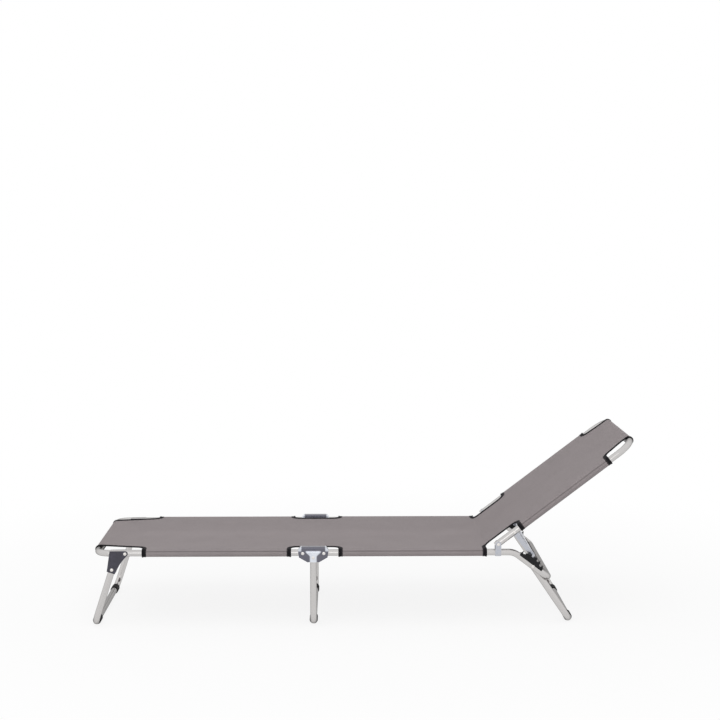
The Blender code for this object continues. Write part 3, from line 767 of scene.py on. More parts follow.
class TubeRecipe(NodeRecipe):
    """Sweeps a round tube along a run of points and notes each point's place along it and around it."""

    def __init__(self) -> None:
        """Build the tree."""
        inputs = [("Radius", "NodeSocketFloat"), ("Sides", "NodeSocketInt"), ("Finish", "NodeSocketMaterial")]
        super().__init__("swept_tube", inputs)
        add = self.sheet.add
        curve = add("GeometryNodeMeshToCurve", None, {"Mesh": self.given("Geometry")})
        reach = add("GeometryNodeSplineParameter")
        noted = add(
            "GeometryNodeStoreNamedAttribute",
            {"data_type": "FLOAT", "domain": "POINT"},
            {"Geometry": curve.outputs[0], "Name": "run", "Value": reach.outputs["Length"]},
        )
        ring = add(
            "GeometryNodeCurvePrimitiveCircle",
            {"mode": "RADIUS"},
            {"Resolution": self.given("Sides"), "Radius": self.given("Radius")},
        )
        spot = add("GeometryNodeInputPosition")
        marked = add(
            "GeometryNodeStoreNamedAttribute",
            {"data_type": "FLOAT_VECTOR", "domain": "POINT"},
            {"Geometry": ring.outputs[0], "Name": "ring", "Value": spot.outputs[0]},
        )
        swept = add(
            "GeometryNodeCurveToMesh",
            None,
            {"Curve": noted.outputs[0], "Profile Curve": marked.outputs[0], "Fill Caps": True},
        )
        self.end_with(swept.outputs[0])


class ScatterRecipe(NodeRecipe):
    """Puts a copy of one shape on every point, turned to the point's own aim."""

    def __init__(self) -> None:
        """Build the tree."""
        super().__init__("aimed_copies", [("Shape", "NodeSocketObject"), ("Finish", "NodeSocketMaterial")])
        add = self.sheet.add
        shape = add("GeometryNodeObjectInfo", None, {"Object": self.given("Shape")})
        aim = add("GeometryNodeInputNamedAttribute", {"data_type": "FLOAT_VECTOR"}, {"Name": "aim"})
        turned = add("FunctionNodeAlignRotationToVector", {"axis": "Z"}, {"Vector": aim.outputs[0]})
        copies = add(
            "GeometryNodeInstanceOnPoints",
            None,
            {
                "Points": self.given("Geometry"),
                "Instance": shape.outputs["Geometry"],
                "Rotation": turned.outputs[0],
            },
        )
        self.end_with(copies.outputs[0])


class StitchRecipe(NodeRecipe):
    """Puts a stitch at even steps along a seam line."""

    def __init__(self) -> None:
        """Build the tree."""
        inputs = [
            ("Shape", "NodeSocketObject"),
            ("Pitch", "NodeSocketFloat"),
            ("Finish", "NodeSocketMaterial"),
        ]
        super().__init__("seam_stitches", inputs)
        add = self.sheet.add
        curve = add("GeometryNodeMeshToCurve", None, {"Mesh": self.given("Geometry")})
        points = add(
            "GeometryNodeCurveToPoints",
            {"mode": "LENGTH"},
            {"Curve": curve.outputs[0], "Length": self.given("Pitch")},
        )
        shape = add("GeometryNodeObjectInfo", None, {"Object": self.given("Shape")})
        along = add("FunctionNodeAlignRotationToVector", {"axis": "X"}, {"Vector": points.outputs["Tangent"]})
        copies = add(
            "GeometryNodeInstanceOnPoints",
            None,
            {
                "Points": points.outputs["Points"],
                "Instance": shape.outputs["Geometry"],
                "Rotation": along.outputs[0],
            },
        )
        self.end_with(copies.outputs[0])


@dataclass(frozen=True)
class Layout:
    """Places that several sub-assemblies share, as (x, z) in the frame of the part."""

    rail_height: float = 0.256
    track: float = 0.279
    tube_radius: float = 0.011
    hinge_x: float = -0.166357
    hinge_half: float = 0.0355
    rail_end: float = 0.010
    foot_end: float = -0.895357
    foot_pivot: tuple[float, float] = (-0.799557, 0.256)
    foot_tilt: float = math.radians(18.0)
    foot_offset: float = 0.026
    bend: tuple[float, float] = (0.511643, 0.256)
    rear_corner: tuple[float, float] = (0.63064, 0.16633)
    rear_pivot: tuple[float, float] = (0.575534, 0.207855)
    rear_turn: float = math.radians(-34.144)
    rear_track: float = 0.251
    back_pivot: tuple[float, float] = (0.457643, 0.2847)
    recline: float = math.radians(37.3)
    head_reach: float = 0.5645

    def on_foot_leg(self, across: float, up: float) -> tuple[float, float]:
        """A place on the foot leg, from its pivot.

        Args:
            across: Distance square to the leg.
            up: Distance along the leg.

        Returns:
            The place as (x, z).
        """
        turn_cos = math.cos(self.foot_tilt)
        turn_sin = math.sin(self.foot_tilt)
        x, z = self.foot_pivot
        return x + across * turn_cos + up * turn_sin, z - across * turn_sin + up * turn_cos

    def on_rear_leg(self, up: float) -> tuple[float, float]:
        """A place on the rear leg, from its pivot."""
        x, z = self.rear_pivot
        return x + up * math.sin(self.rear_turn), z + up * math.cos(self.rear_turn)

    def on_back(self, along: float) -> tuple[float, float]:
        """A place on the backrest's rails, from their pivot."""
        x, z = self.back_pivot
        return x + along * math.cos(self.recline), z + along * math.sin(self.recline)


@dataclass
class BentRun:
    """A run of straight tube with round bends at its corners."""

    corners: Sequence[Vector]
    radii: Sequence[float]
    steps: int = 12

    def points(self) -> list[Vector]:
        """Points along the run.

        Returns:
            The first corner, each bend's arc and the last corner.
        """
        made = [self.corners[0]]
        trios = zip(self.corners, self.corners[1:], self.corners[2:])
        for (before, corner, after), radius in zip(trios, self.radii):
            into = (corner - before).normalized()
            out = (after - corner).normalized()
            turn = into.angle(out)
            axis = into.cross(out).normalized()
            start = corner - into * (radius * math.tan(turn / 2))
            centre = start + axis.cross(into) * radius
            for step in range(self.steps + 1):
                made.append(centre + Matrix.Rotation(turn * step / self.steps, 3, axis) @ (start - centre))
        made.append(self.corners[-1])
        return made


@dataclass
class Tubework:
    """The bent tubes: seat, foot and back frames, three legs and the prop's bar."""

    layout: Layout
    wardrobe: Wardrobe
    sides: int = 32
    foot_corner: float = 0.042
    leg_corner: float = 0.042
    back_corner: float = 0.060
    rear_corner: float = 0.034
    bend_radius: float = 0.055
    floor_bar: float = 0.0135
    mid_leg_top: float = 0.260
    foot_leg_top: float = -0.030
    foot_leg_low: float = -0.26343
    rear_leg_top: float = 0.010
    rear_leg_low: float = -0.23484
    bar_radius: float = 0.006
    bar_place: tuple[float, float] = (0.57665, 0.24205)
    bar_half: float = 0.2795

    def u_run(self, rail: Sequence[Point], track: float, radii: Sequence[float]) -> list[Vector]:
        """A U: one rail, the cross tube and the other rail.

        Args:
            rail: The rail's corners as (x, z), from its open end to the cross tube.
            track: Half the distance between the rails.
            radii: The bends from the open end to the cross tube.

        Returns:
            Points along the whole U.
        """
        near = [Vector((x, -track, z)) for x, z in rail]
        far = [Vector((x, track, z)) for x, z in reversed(rail)]
        return BentRun(near + far, [*radii, *reversed(radii)]).points()

    def runs(self) -> dict[str, tuple[str, list[Vector], float]]:
        """Body, points and radius of every tube, by its node's name.

        Returns:
            The tubes, in the order in which they are made.
        """
        plan = self.layout
        low = plan.rail_height
        seat = [(plan.hinge_x + plan.hinge_half - plan.rail_end, low), plan.bend, plan.rear_corner]
        foot = [(plan.hinge_x - plan.hinge_half + plan.rail_end, low), (plan.foot_end, low)]
        back = [plan.on_back(-plan.rail_end), plan.on_back(plan.head_reach)]
        mid = [(plan.hinge_x, self.mid_leg_top), (plan.hinge_x, self.floor_bar)]
        front = [plan.on_foot_leg(-plan.foot_offset, up) for up in (self.foot_leg_top, self.foot_leg_low)]
        rear = [plan.on_rear_leg(up) for up in (self.rear_leg_top, self.rear_leg_low)]
        x, z = self.bar_place
        bar = [Vector((x, -self.bar_half, z)), Vector((x, self.bar_half, z))]
        wide = plan.tube_radius
        bends = [self.bend_radius, self.rear_corner]
        return {
            "seat_frame": ("seat", self.u_run(seat, plan.track, bends), wide),
            "foot_frame": ("foot_section", self.u_run(foot, plan.track, [self.foot_corner]), wide),
            "back_frame": ("backrest", self.u_run(back, plan.track, [self.back_corner]), wide),
            "mid_leg": ("mid_hinge", self.u_run(mid, plan.track, [self.leg_corner]), wide),
            "foot_leg": ("foot_leg", self.u_run(front, plan.track, [self.leg_corner]), wide),
            "rear_leg": ("rear_leg", self.u_run(rear, plan.rear_track, [self.leg_corner]), wide),
            "prop_bar": ("prop", bar, self.bar_radius),
        }

    def build(self) -> None:
        """Sweep every tube and let it ride on its body."""
        recipe = TubeRecipe()
        maker = PieceMaker()
        for node, (body, points, radius) in self.runs().items():
            line = maker.polyline(node + "_line", [points])
            finish, slot = self.wardrobe.tube, "tube_metal"
            if node == "prop_bar":
                finish, slot = self.wardrobe.zinc, "bracket_steel"
            values = {"Radius": radius, "Sides": self.sides, "Finish": finish}
            tube = recipe.run("tube_" + node, line, values)
            hang(tube, [node], body)


@dataclass
class Rivets:
    """Domed rivet heads, two for each rivet, and their shanks."""

    wardrobe: Wardrobe
    head_radius: float = 0.0058
    head_rise: float = 0.0024
    rim: float = 0.22
    dome: float = 0.97
    shank: float = 0.0030
    shank_radius: float = 0.0022
    shank_gap: float = 0.0002
    sides: int = 20
    groups: dict[str, tuple[str, ...]] = field(
        default_factory=lambda: {
            "seat": ("back_pivot_rivet",),
            "mid_hinge": ("mid_seat_rivet", "mid_foot_rivet", "mid_leg_rivet"),
            "foot_leg": ("foot_leg_pivot_rivet", "foot_leg_lower_rivet"),
            "rear_leg": ("rear_leg_rivet",),
            "prop": ("prop_rivet",),
        }
    )

    def head(self) -> bpy.types.Object:
        """One head with its shank, its base at the origin and its dome towards +Z.

        Returns:
            The head, which is copied onto the rivets and then removed.
        """
        outline = [(self.shank_radius, -self.shank), (self.shank_radius, -self.shank_gap)]
        outline += [(self.head_radius, 0.0), (self.head_radius, self.head_rise * self.rim)]
        for angle in quarter_turns():
            height = self.head_rise * (self.rim + (1.0 - self.rim) * math.sin(angle))
            outline.append((self.head_radius * self.dome * math.cos(angle), height))
        turns = [math.tau * step / self.sides for step in range(self.sides)]
        rings = []
        for radius, height in outline:
            ring = [Vector((radius * math.cos(turn), radius * math.sin(turn), height)) for turn in turns]
            rings.append(ring)
        return PieceMaker().from_bmesh("rivet_head", PieceMaker().loft(rings), self.wardrobe.rivet)

    def build(self) -> None:
        """Set two heads on every rivet of the frame, one mesh for each body."""
        head = self.head()
        recipe = ScatterRecipe()
        for body, names in self.groups.items():
            nodes = [f"{name}_{side.label}" for name in names for side in Side]
            places, aims = [], []
            for node in nodes:
                low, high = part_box(node)
                middle = (low + high) / 2
                for edge, way in ((low.y, -1.0), (high.y, 1.0)):
                    places.append(Vector((middle.x, edge - way * self.head_rise, middle.z)))
                    aims.append(Vector((0.0, way, 0.0)))
            mesh = bpy.data.meshes.new(body + "_rivet_points")
            mesh.from_pydata(places, [], [])
            aim = mesh.attributes.new("aim", "FLOAT_VECTOR", "POINT")
            aim.data.foreach_set("vector", [part for way in aims for part in way])
            piece = recipe.run("rivets_" + body, mesh, {"Shape": head, "Finish": self.wardrobe.rivet})
            hang(piece, nodes, body)
        bpy.data.objects.remove(head)


@dataclass
class FloorPads:
    """Ribbed rubber sleeves at the corners of the floor bars, with a worn flat sole."""

    wardrobe: Wardrobe
    bore: float = 0.0113
    outside: float = 0.0139
    edge_round: float = 0.0016
    rib_count: int = 5
    rib_depth: float = 0.0005
    rib_steps: int = 8
    rib_power: int = 3
    solid_radius: float = 0.014
    sides: int = 44
    bodies: dict[str, str] = field(
        default_factory=lambda: {"foot_pad": "foot_leg", "mid_pad": "mid_hinge", "rear_pad": "rear_leg"}
    )

    def profile(self, length: float) -> list[tuple[float, float]]:
        """The wall's outline as (place along, radius), round its inside and outside.

        Args:
            length: The pad's length.

        Returns:
            The outline, from the bore's start to its end.
        """
        outline = [(0.0, self.bore), (0.0, self.outside - self.edge_round)]
        for angle in quarter_turns():
            along = self.edge_round * (1 - math.cos(angle))
            outline.append((along, self.outside - self.edge_round * (1 - math.sin(angle))))
        inner = length - 2 * self.edge_round
        count = self.rib_count * self.rib_steps
        for step in range(count + 1):
            share = step / count
            dip = 0.5 - 0.5 * math.cos(math.tau * self.rib_count * share)
            radius = self.outside - self.rib_depth * dip**self.rib_power
            outline.append((self.edge_round + inner * share, radius))
        for angle in quarter_turns():
            along = length - self.edge_round * (1 - math.sin(angle))
            outline.append((along, self.outside - self.edge_round * (1 - math.cos(angle))))
        outline.append((length, self.outside - self.edge_round))
        outline.append((length, self.bore))
        return outline

    def build(self) -> None:
        """Turn a pad over every pad of the frame, one mesh for each leg."""
        maker = PieceMaker()
        for name, body in self.bodies.items():
            whole = bmesh.new()
            nodes = [f"{name}_{side.label}" for side in Side]
            for node in nodes:
                low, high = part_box(node)
                centre_x = (low.x + high.x) / 2
                centre_z = high.z - self.solid_radius
                rings = []
                for along, radius in self.profile(high.y - low.y):
                    ring = []
                    for step in range(self.sides):
                        turn = math.tau * step / self.sides
                        height = max(0.0, centre_z + radius * math.sin(turn))
                        ring.append(Vector((centre_x + radius * math.cos(turn), low.y + along, height)))
                    rings.append(ring)
                maker.join(whole, maker.loft(rings, True))
            piece = maker.from_bmesh("rubber_" + name, whole, self.wardrobe.rubber)
            hang(piece, nodes, body)


@dataclass
class MidChannel:
    """The pressed channel over each middle hinge, with a raised flare where the leg goes in."""

    layout: Layout
    wardrobe: Wardrobe
    top_half: float = 0.0424
    end_half: float = 0.0508
    rise: float = 0.021
    shoulder: float = 0.0113
    drop: float = 0.0136
    foot_half: float = 0.020
    foot_drop: float = 0.030
    inside: float = 0.0113
    outside: float = 0.0138
    bend: float = 0.0042
    press: float = 0.0013
    flare_top: float = 0.009
    stem_half: float = 0.0135
    flare_half: float = 0.028
    flare_low: float = -0.012
    flare_height: float = 0.019
    flare_side: float = 0.0045
    flare_fade: float = 0.004
    bevel_half: float = 0.051
    cheek_half: float = 0.0485
    end_low: float = 0.006
    inner_bend: float = 0.0015
    # where the painted highlight lies on the channel
    rub_before: float = 0.004
    rub_width: float = 0.004
    rub_low: float = 0.004
    rub_height: float = 0.006
    rub_end: float = 0.85
    cheek_steps: int = 16
    stations: int = 36

    def top(self, x: float) -> float:
        """Height of the channel's top face, from the rail's middle."""
        over = max(0.0, abs(x) - self.top_half) / (self.bevel_half - self.top_half)
        return self.rise - over * (self.rise - self.shoulder)

    def bottom(self, x: float) -> float:
        """Height of the cheeks' lower edge, from the rail's middle.

        Args:
            x: Place along the rail, from the hinge.

        Returns:
            The height.
        """
        reach = abs(x)
        if reach <= self.foot_half:
            return -self.foot_drop
        if reach <= self.cheek_half:
            share = (reach - self.foot_half) / (self.cheek_half - self.foot_half)
            return -self.foot_drop + share * (self.foot_drop - self.drop)
        share = (reach - self.cheek_half) / (self.bevel_half - self.cheek_half)
        return -self.drop + share * (self.drop + self.shoulder - self.end_low)

    def raised(self, x: float, z: float) -> float:
        """How far the cheek is pressed outwards: a stem over the leg that widens upwards.

        Args:
            x: Place along the rail, from the hinge.
            z: Height over the rail's middle.

        Returns:
            The distance outwards.
        """
        widening = soft_step(z - self.flare_low, self.flare_height)
        half = self.stem_half + (self.flare_half - self.stem_half) * widening
        sideways = soft_step(half - abs(x), self.flare_side)
        return self.press * sideways * soft_step(self.flare_top - z, self.flare_fade)

    def mark_rubbed(self, piece: bpy.types.Object, middle: Vector) -> None:
        """Note on the mesh where the painted highlight goes, with a smoother gloss: the raised flare and the
        ends' bevels.

        Args:
            piece: The channel.
            middle: The rail's middle at the hinge.
        """
        rub = piece.data.attributes.new("rub", "FLOAT", "POINT")
        values = []
        for vert in piece.data.vertices:
            place = vert.co - middle
            # painted highlight on the raised flare and on the top's end bevels
            outer = soft_step(abs(place.x) - self.top_half + self.rub_before, self.rub_width)
            end = outer * soft_step(place.z - self.rub_low, self.rub_height)
            values.append(max(self.raised(place.x, place.z) / self.press, self.rub_end * end))
        rub.data.foreach_set("value", values)

    def section(self, x: float) -> list[tuple[float, float]]:
        """The bent sheet's outline across the rail, as (y, z).

        Args:
            x: Place along the rail, from the hinge.

        Returns:
            The outline, as a closed ring.
        """
        top = self.top(x)
        low = self.bottom(x)
        inner_top = top - (self.outside - self.inside)
        knee = top - self.bend
        shares = [step / self.cheek_steps for step in range(self.cheek_steps + 1)]
        legs = [low + (knee - low) * share for share in shares]
        inner = [low + (inner_top - self.inner_bend - low) * share for share in shares]
        outline = [(self.outside + self.raised(x, z), z) for z in legs]
        for angle in quarter_turns():
            y = self.outside - self.bend * (1 - math.cos(angle))
            outline.append((y, knee + self.bend * math.sin(angle)))
        outline += [(self.outside - self.bend, top), (0.0, top), (-self.outside + self.bend, top)]
        for angle in reversed(quarter_turns()):
            y = -self.outside + self.bend * (1 - math.cos(angle))
            outline.append((y, knee + self.bend * math.sin(angle)))
        outline += [(-self.outside - self.raised(x, z), z) for z in reversed(legs)]
        outline += [(-self.inside - self.raised(x, z), z) for z in inner]
        outline += [(-self.inside + self.inner_bend, inner_top), (self.inside - self.inner_bend, inner_top)]
        outline += [(self.inside + self.raised(x, z), z) for z in reversed(inner)]
        return outline

    def build(self) -> None:
        """Loft a channel over both rails."""
        maker = PieceMaker()
        plan = self.layout
        steps = range(-self.stations, self.stations + 1)
        stations = [self.end_half * step / self.stations for step in steps]
        for side in Side:
            middle = Vector((plan.hinge_x, side.value * plan.track, plan.rail_height))
            rings = [[middle + Vector((x, y, z)) for y, z in self.section(x)] for x in stations]
            piece = maker.from_bmesh(f"channel_{side.label}", maker.loft(rings), self.wardrobe.channel)
            self.mark_rubbed(piece, middle)
            hang(piece, [f"mid_hinge_{side.label}"], "mid_hinge")


@dataclass
class BackStrap:
    """The strap that goes under the seat rail and carries the backrest's pivot in two ears."""

    layout: Layout
    wardrobe: Wardrobe
    half: float = 0.010
    inside: float = 0.0113
    outside: float = 0.0138
    crown: float = 0.0006
    crown_power: int = 6
    ear_steps: int = 8
    round_steps: int = 20
    stations: int = 14
    end_share: float = 0.998

    def section(self, x: float) -> list[tuple[float, float]]:
        """The strap's outline across the rail at a place along it, as (y, z).

        Args:
            x: Place along the rail, from the pivot.

        Returns:
            The outline, as a closed ring.
        """
        pivot = self.layout.back_pivot[1] - self.layout.rail_height
        top = pivot + math.sqrt(max(0.0, self.half**2 - x**2))
        skin = self.outside - self.crown * (abs(x) / self.half) ** self.crown_power
        heights = [top * step / self.ear_steps for step in range(self.ear_steps + 1)]
        turns = [math.pi * step / self.round_steps for step in range(1, self.round_steps)]
        outline = [(skin, z) for z in reversed(heights)]
        outline += [(skin * math.cos(turn), -skin * math.sin(turn)) for turn in turns]
        outline += [(-skin, z) for z in heights]
        outline += [(-self.inside, z) for z in reversed(heights)]
        outline += [(self.inside * math.cos(turn), -self.inside * math.sin(turn)) for turn in reversed(turns)]
        outline += [(self.inside, z) for z in heights]
        return outline

    def build(self) -> None:
        """Loft a strap round both rails."""
        maker = PieceMaker()
        plan = self.layout
        turns = [math.pi / 2 * step / self.stations for step in range(-self.stations, self.stations + 1)]
        stations = [self.half * math.sin(turn) * self.end_share for turn in turns]
        for side in Side:
            middle = Vector((plan.back_pivot[0], side.value * plan.track, plan.rail_height))
            rings = [[middle + Vector((x, y, z)) for y, z in self.section(x)] for x in stations]
            piece = maker.from_bmesh(f"strap_{side.label}", maker.loft(rings), self.wardrobe.zinc)
            hang(piece, [f"back_bracket_{side.label}"], "seat")


@dataclass
class KeptPieces:
    """Pieces of the frame that keep their own shape, with softened edges and a finish."""

    wardrobe: Wardrobe
    edge: float = 0.0006
    edge_steps: int = 2
    edge_angle: float = math.radians(40.0)
    merge: float = 0.00001

    def build(self, nodes: dict[str, bpy.types.Object]) -> None:
        """Dress each piece.

        Args:
            nodes: The frame's objects by name.
        """
        finishes = {
            "foot_leg_bracket": self.wardrobe.paint,
            "prop_rack": self.wardrobe.rack,
            "prop_arm": self.wardrobe.zinc,
            "rear_leg_spacer": self.wardrobe.rack,
        }
        for name, finish in finishes.items():
            for side in Side:
                item = nodes[f"{name}_{side.label}"]
                item.data.materials.clear()
                item.data.materials.append(finish)
                weld = item.modifiers.new("weld", "WELD")
                weld.merge_threshold = self.merge
                soft = item.modifiers.new("soft_edge", "BEVEL")
                soft.width = self.edge
                soft.segments = self.edge_steps
                soft.limit_method = "ANGLE"
                soft.angle_limit = self.edge_angle
                soft.harden_normals = True
                LOG.info("%s dressed", item.name)


@dataclass
class SlingPath:
    """The line of the cloth's under side from the foot tube to the head tube, seen from the side."""

    layout: Layout
    sleeve: float = 0.0115
    hem_turn: float = math.radians(250.0)
    fold_radius: float = 0.025
    round_reach: float = 0.20
    round_blend: float = 0.06
    hem: float = field(init=False)
    fold: float = field(init=False)
    back_start: float = field(init=False)
    setback: float = field(init=False)
    head: float = field(init=False)
    length: float = field(init=False)

    def __post_init__(self) -> None:
        """Work out where the straight stretches begin and end."""
        plan = self.layout
        self.hem = self.sleeve * self.hem_turn
        pivot_z = plan.back_pivot[1]
        level = plan.rail_height + self.sleeve
        lift = pivot_z + self.sleeve * math.cos(plan.recline)
        self.back_start = (level - lift) / math.sin(plan.recline)
        corner = plan.on_back(self.back_start)[0] - self.sleeve * math.sin(plan.recline)
        self.fold = self.hem + corner - plan.foot_end
        self.setback = self.fold_radius * math.tan(plan.recline / 2)
        self.head = self.fold + plan.head_reach - self.back_start
        self.length = self.head + self.hem

    def by_x(self, x: float) -> float:
        """How far along the cloth a place on the seat is."""
        return self.hem + x - self.layout.foot_end

    def by_back(self, along: float) -> float:
        """How far along the cloth a place on the backrest is."""
        return self.fold + along - self.back_start

    def on_seat(self, u: float) -> Vector:
        """The place at a distance along the cloth if it went straight on from the seat."""
        return Vector((self.layout.foot_end + u - self.hem, 0.0, self.layout.rail_height + self.sleeve))

    def crisp(self, u: float) -> tuple[Vector, Vector]:
        """Place and outward direction at a distance along the cloth, with a sharp fold.

        Args:
            u: Distance along the cloth.

        Returns:
            The place and the direction.
        """
        plan = self.layout
        if u < self.hem:
            turn = (u - self.hem) / self.sleeve
            out = Vector((math.sin(turn), 0.0, math.cos(turn)))
            return Vector((plan.foot_end, 0.0, plan.rail_height)) + out * self.sleeve, out
        if u <= self.fold:
            return self.on_seat(u), Vector((0.0, 0.0, 1.0))
        along = Vector((math.cos(plan.recline), 0.0, math.sin(plan.recline)))
        out = Vector((-along.z, 0.0, along.x))
        if u <= self.head:
            x, z = plan.on_back(self.back_start + u - self.fold)
            return Vector((x, 0.0, z)) + out * self.sleeve, out
        turn = (u - self.head) / self.sleeve
        x, z = plan.on_back(plan.head_reach)
        around = out * math.cos(turn) + along * math.sin(turn)
        return Vector((x, 0.0, z)) + around * self.sleeve, around

    def soft(self, u: float) -> tuple[Vector, Vector]:
        """Place and outward direction with the fold rounded.

        Args:
            u: Distance along the cloth.

        Returns:
            The place and the direction.
        """
        away = u - self.fold
        if abs(away) >= self.setback:
            return self.crisp(u)
        turn = self.layout.recline * (away + self.setback) / (2 * self.setback)
        start, _ = self.crisp(self.fold - self.setback)
        centre = start + Vector((0.0, 0.0, self.fold_radius))
        out = Vector((-math.sin(turn), 0.0, math.cos(turn)))
        return centre - out * self.fold_radius, out

    def at(self, u: float, reach: float) -> tuple[Vector, Vector]:
        """Place and outward direction, rounded in the middle and sharp at the rails.

        Args:
            u: Distance along the cloth.
            reach: Distance from its middle line.

        Returns:
            The place and the direction.
        """
        share = soft_step(reach - self.round_reach, self.round_blend)
        place, out = self.soft(u)
        hard_place, hard_out = self.crisp(u)
        return place.lerp(hard_place, share), out.lerp(hard_out, share).normalized()


@dataclass(frozen=True)
class Panel:
    """One stretch of the sling, between two places along it, and the names of the bodies at its two ends."""

    name: str
    start: float
    end: float
    bodies: tuple[str, str]
    bend_from: tuple[float, float, float]
    bend_to: tuple[float, float, float]
    nodes: tuple[str, ...]


@dataclass
class Sling:
    """The taupe mesh cloth: sleeves round the rails, notches at the joints, black tape and stitched seams."""

    layout: Layout
    wardrobe: Wardrobe
    thick: float = 0.0015
    wrap: float = math.radians(300.0)
    hem_edge: float = 0.216
    foot_edge: float = 0.250
    mid_edge: float = 0.247
    back_edge: float = 0.230
    head_edge: float = 0.219
    corner: float = 0.022
    sag: float = 0.0035
    sag_run: float = 0.12
    head_run: float = 0.075
    head_blend: float = 0.05
    seam_turn: float = math.radians(57.0)
    seam_dip: float = 0.0012
    seam_width: float = 0.0019
    seam_under: float = 0.25
    seam_bed: float = 0.75
    tape: float = 0.0135
    tape_thick: float = 0.0008
    tape_roll: float = 0.0014
    stitch_pitch: float = 0.0042
    stitch_half: float = 0.36
    stitch_radius: float = 0.00042
    stitch_blunt: float = 1.06
    stitch_rings: int = 5
    stitch_sides: int = 6
    stitch_sharp: float = 80.0
    stitch_inset: float = 0.0025
    stitch_clear: float = 0.002
    inner_columns: tuple[float, ...] = (
        0.0, 0.03, 0.06, 0.09, 0.12, 0.15, 0.18, 0.205, 0.228, 0.245, 0.262
    )
    sleeve_steps: int = 26
    seam_columns: tuple[float, ...] = (-0.0026, -0.0013, 0.0, 0.0013, 0.0026)
    seam_clear: float = 0.0034
    hem_steps: int = 14
    fold_zone: float = 0.035
    fold_steps: int = 12
    fold_clear: float = 0.042
    row_count: int = 86
    corner_steps: int = 8
    corner_clear: float = 0.004
    notch_clear: float = 0.002
    sleeve_clear: float = 0.003
    cut_clear: float = 0.001
    hem_clear: float = 0.0008
    inner_clear: float = 0.0022
    merge: float = 1e-7
    hinge_bend: float = 0.02
    back_bend: float = 0.035
    foot_sleeve: tuple[float, float] = (-0.7426, -0.2425)
    seat_sleeve: tuple[float, float] = (-0.0805, 0.4185)
    back_sleeve: tuple[float, float] = (0.0915, 0.470)
    seat_join: float = 0.15
    path: SlingPath = field(init=False)
    full: float = field(init=False)
    seam: float = field(init=False)
    sleeves: list[tuple[float, float]] = field(init=False)

    def __post_init__(self) -> None:
        """Work out the cloth's own measures."""
        self.path = SlingPath(self.layout)
        self.full = self.layout.track + self.path.sleeve * self.wrap
        self.seam = self.layout.track + self.path.sleeve * self.seam_turn
        along = self.path.by_x
        back = self.path.by_back
        self.sleeves = [
            (along(self.foot_sleeve[0]), along(self.foot_sleeve[1])),
            (along(self.seat_sleeve[0]), along(self.seat_sleeve[1])),
            (back(self.back_sleeve[0]), back(self.back_sleeve[1])),
        ]

    def edge(self, u: float) -> float:
        """Half the cloth's width in its notches.

        Args:
            u: Distance along the cloth.

        Returns:
            The half width.
        """
        foot, seat, back = self.sleeves
        if u < foot[1]:
            share = max(0.0, u - self.path.hem) / (foot[0] - self.path.hem)
            return self.hem_edge + (self.foot_edge - self.hem_edge) * min(1.0, share)
        if u < seat[1]:
            return self.mid_edge
        share = soft_step(u - (self.path.head - self.head_run), self.head_blend)
        return self.back_edge + (self.head_edge - self.back_edge) * share

    def lift(self, u: float, v: float, height: float) -> Vector:
        """Where a point of the flat cloth lies in the lounger.

        Args:
            u: Distance along the cloth.
            v: Distance from its middle line.
            height: Distance above its under side.

        Returns:
            The point in the frame of the part.
        """
        track = self.layout.track
        reach = abs(v)
        place, out = self.path.at(u, reach)
        if self.path.fold < u < self.sleeves[1][1] + self.tape:
            share = soft_step(reach - track + self.corner, self.corner)
            place = place.lerp(self.path.on_seat(u), share)
            out = out.lerp(Vector((0.0, 0.0, 1.0)), share).normalized()
        if reach <= track:
            span = (1 - (v / track) ** 2) ** 2
            ends = soft_step(u - self.path.hem, self.sag_run) * soft_step(self.path.head - u, self.sag_run)
            drop = self.sag * span * ends
            return place + out * (height - drop) + Vector((0.0, v, 0.0))
        side = math.copysign(1.0, v)
        turn = (reach - track) / self.path.sleeve
        wide = self.path.sleeve + height
        across = side * (track + wide * math.sin(turn))
        return place + out * (wide * math.cos(turn) - self.path.sleeve) + Vector((0.0, across, 0.0))

    def seam_depth(self, v: float) -> float:
        """How deep the stitched seam draws the cloth in."""
        return self.seam_dip * math.exp(-(((abs(v) - self.seam) / self.seam_width) ** 2))

    def columns(self) -> list[float]:
        """Distances from the middle line at which the cloth has points.

        Returns:
            The distances on one side, from the middle outwards.
        """
        track = self.layout.track
        steps = self.sleeve_steps
        rounds = [track + (self.full - track) * step / steps for step in range(1, steps + 1)]
        near = [value for value in rounds if abs(value - self.seam) > self.seam_clear]
        fine = [self.seam + shift for shift in self.seam_columns]
        return sorted([*self.inner_columns, track, *near, *fine])

    def both_columns(self) -> list[float]:
        """The columns of both sides, from near to far."""
        columns = self.columns()
        return [-v for v in reversed(columns[1:])] + columns

    def rows(self) -> list[float]:
        """Distances along the cloth at which it has points.

        Returns:
            The distances, from foot to head.
        """
        path = self.path
        turns = self.hem_steps
        folds = self.fold_steps
        count = self.row_count
        marks = [path.hem * step / turns for step in range(turns)]
        marks += [path.head + path.hem * step / turns for step in range(1, turns + 1)]
        marks += [path.fold + self.fold_zone * step / folds for step in range(-folds, folds + 1)]
        plain = [path.hem + (path.head - path.hem) * step / count for step in range(count + 1)]
        marks += [u for u in plain if abs(u - path.fold) > self.fold_clear]
        return sorted(marks)

    def descent(self, u: float, way: float) -> list[Point]:
        """A sleeve's taped end, from its under edge to the notch's straight edge.

        Args:
            u: Where the sleeve ends along the cloth.
            way: 1 if the notch lies further along the cloth, -1 if it lies before.

        Returns:
            Points (u, v) on the far side.
        """
        base = self.edge(u + way * self.corner) + self.corner
        line = [(u, v) for v in reversed(self.columns()) if v > base + self.corner_clear]
        for step in range(self.corner_steps + 1):
            angle = math.pi / 2 * step / self.corner_steps
            along = u + way * self.corner * (1 - math.cos(angle))
            line.append((along, base - self.corner * math.sin(angle)))
        return line

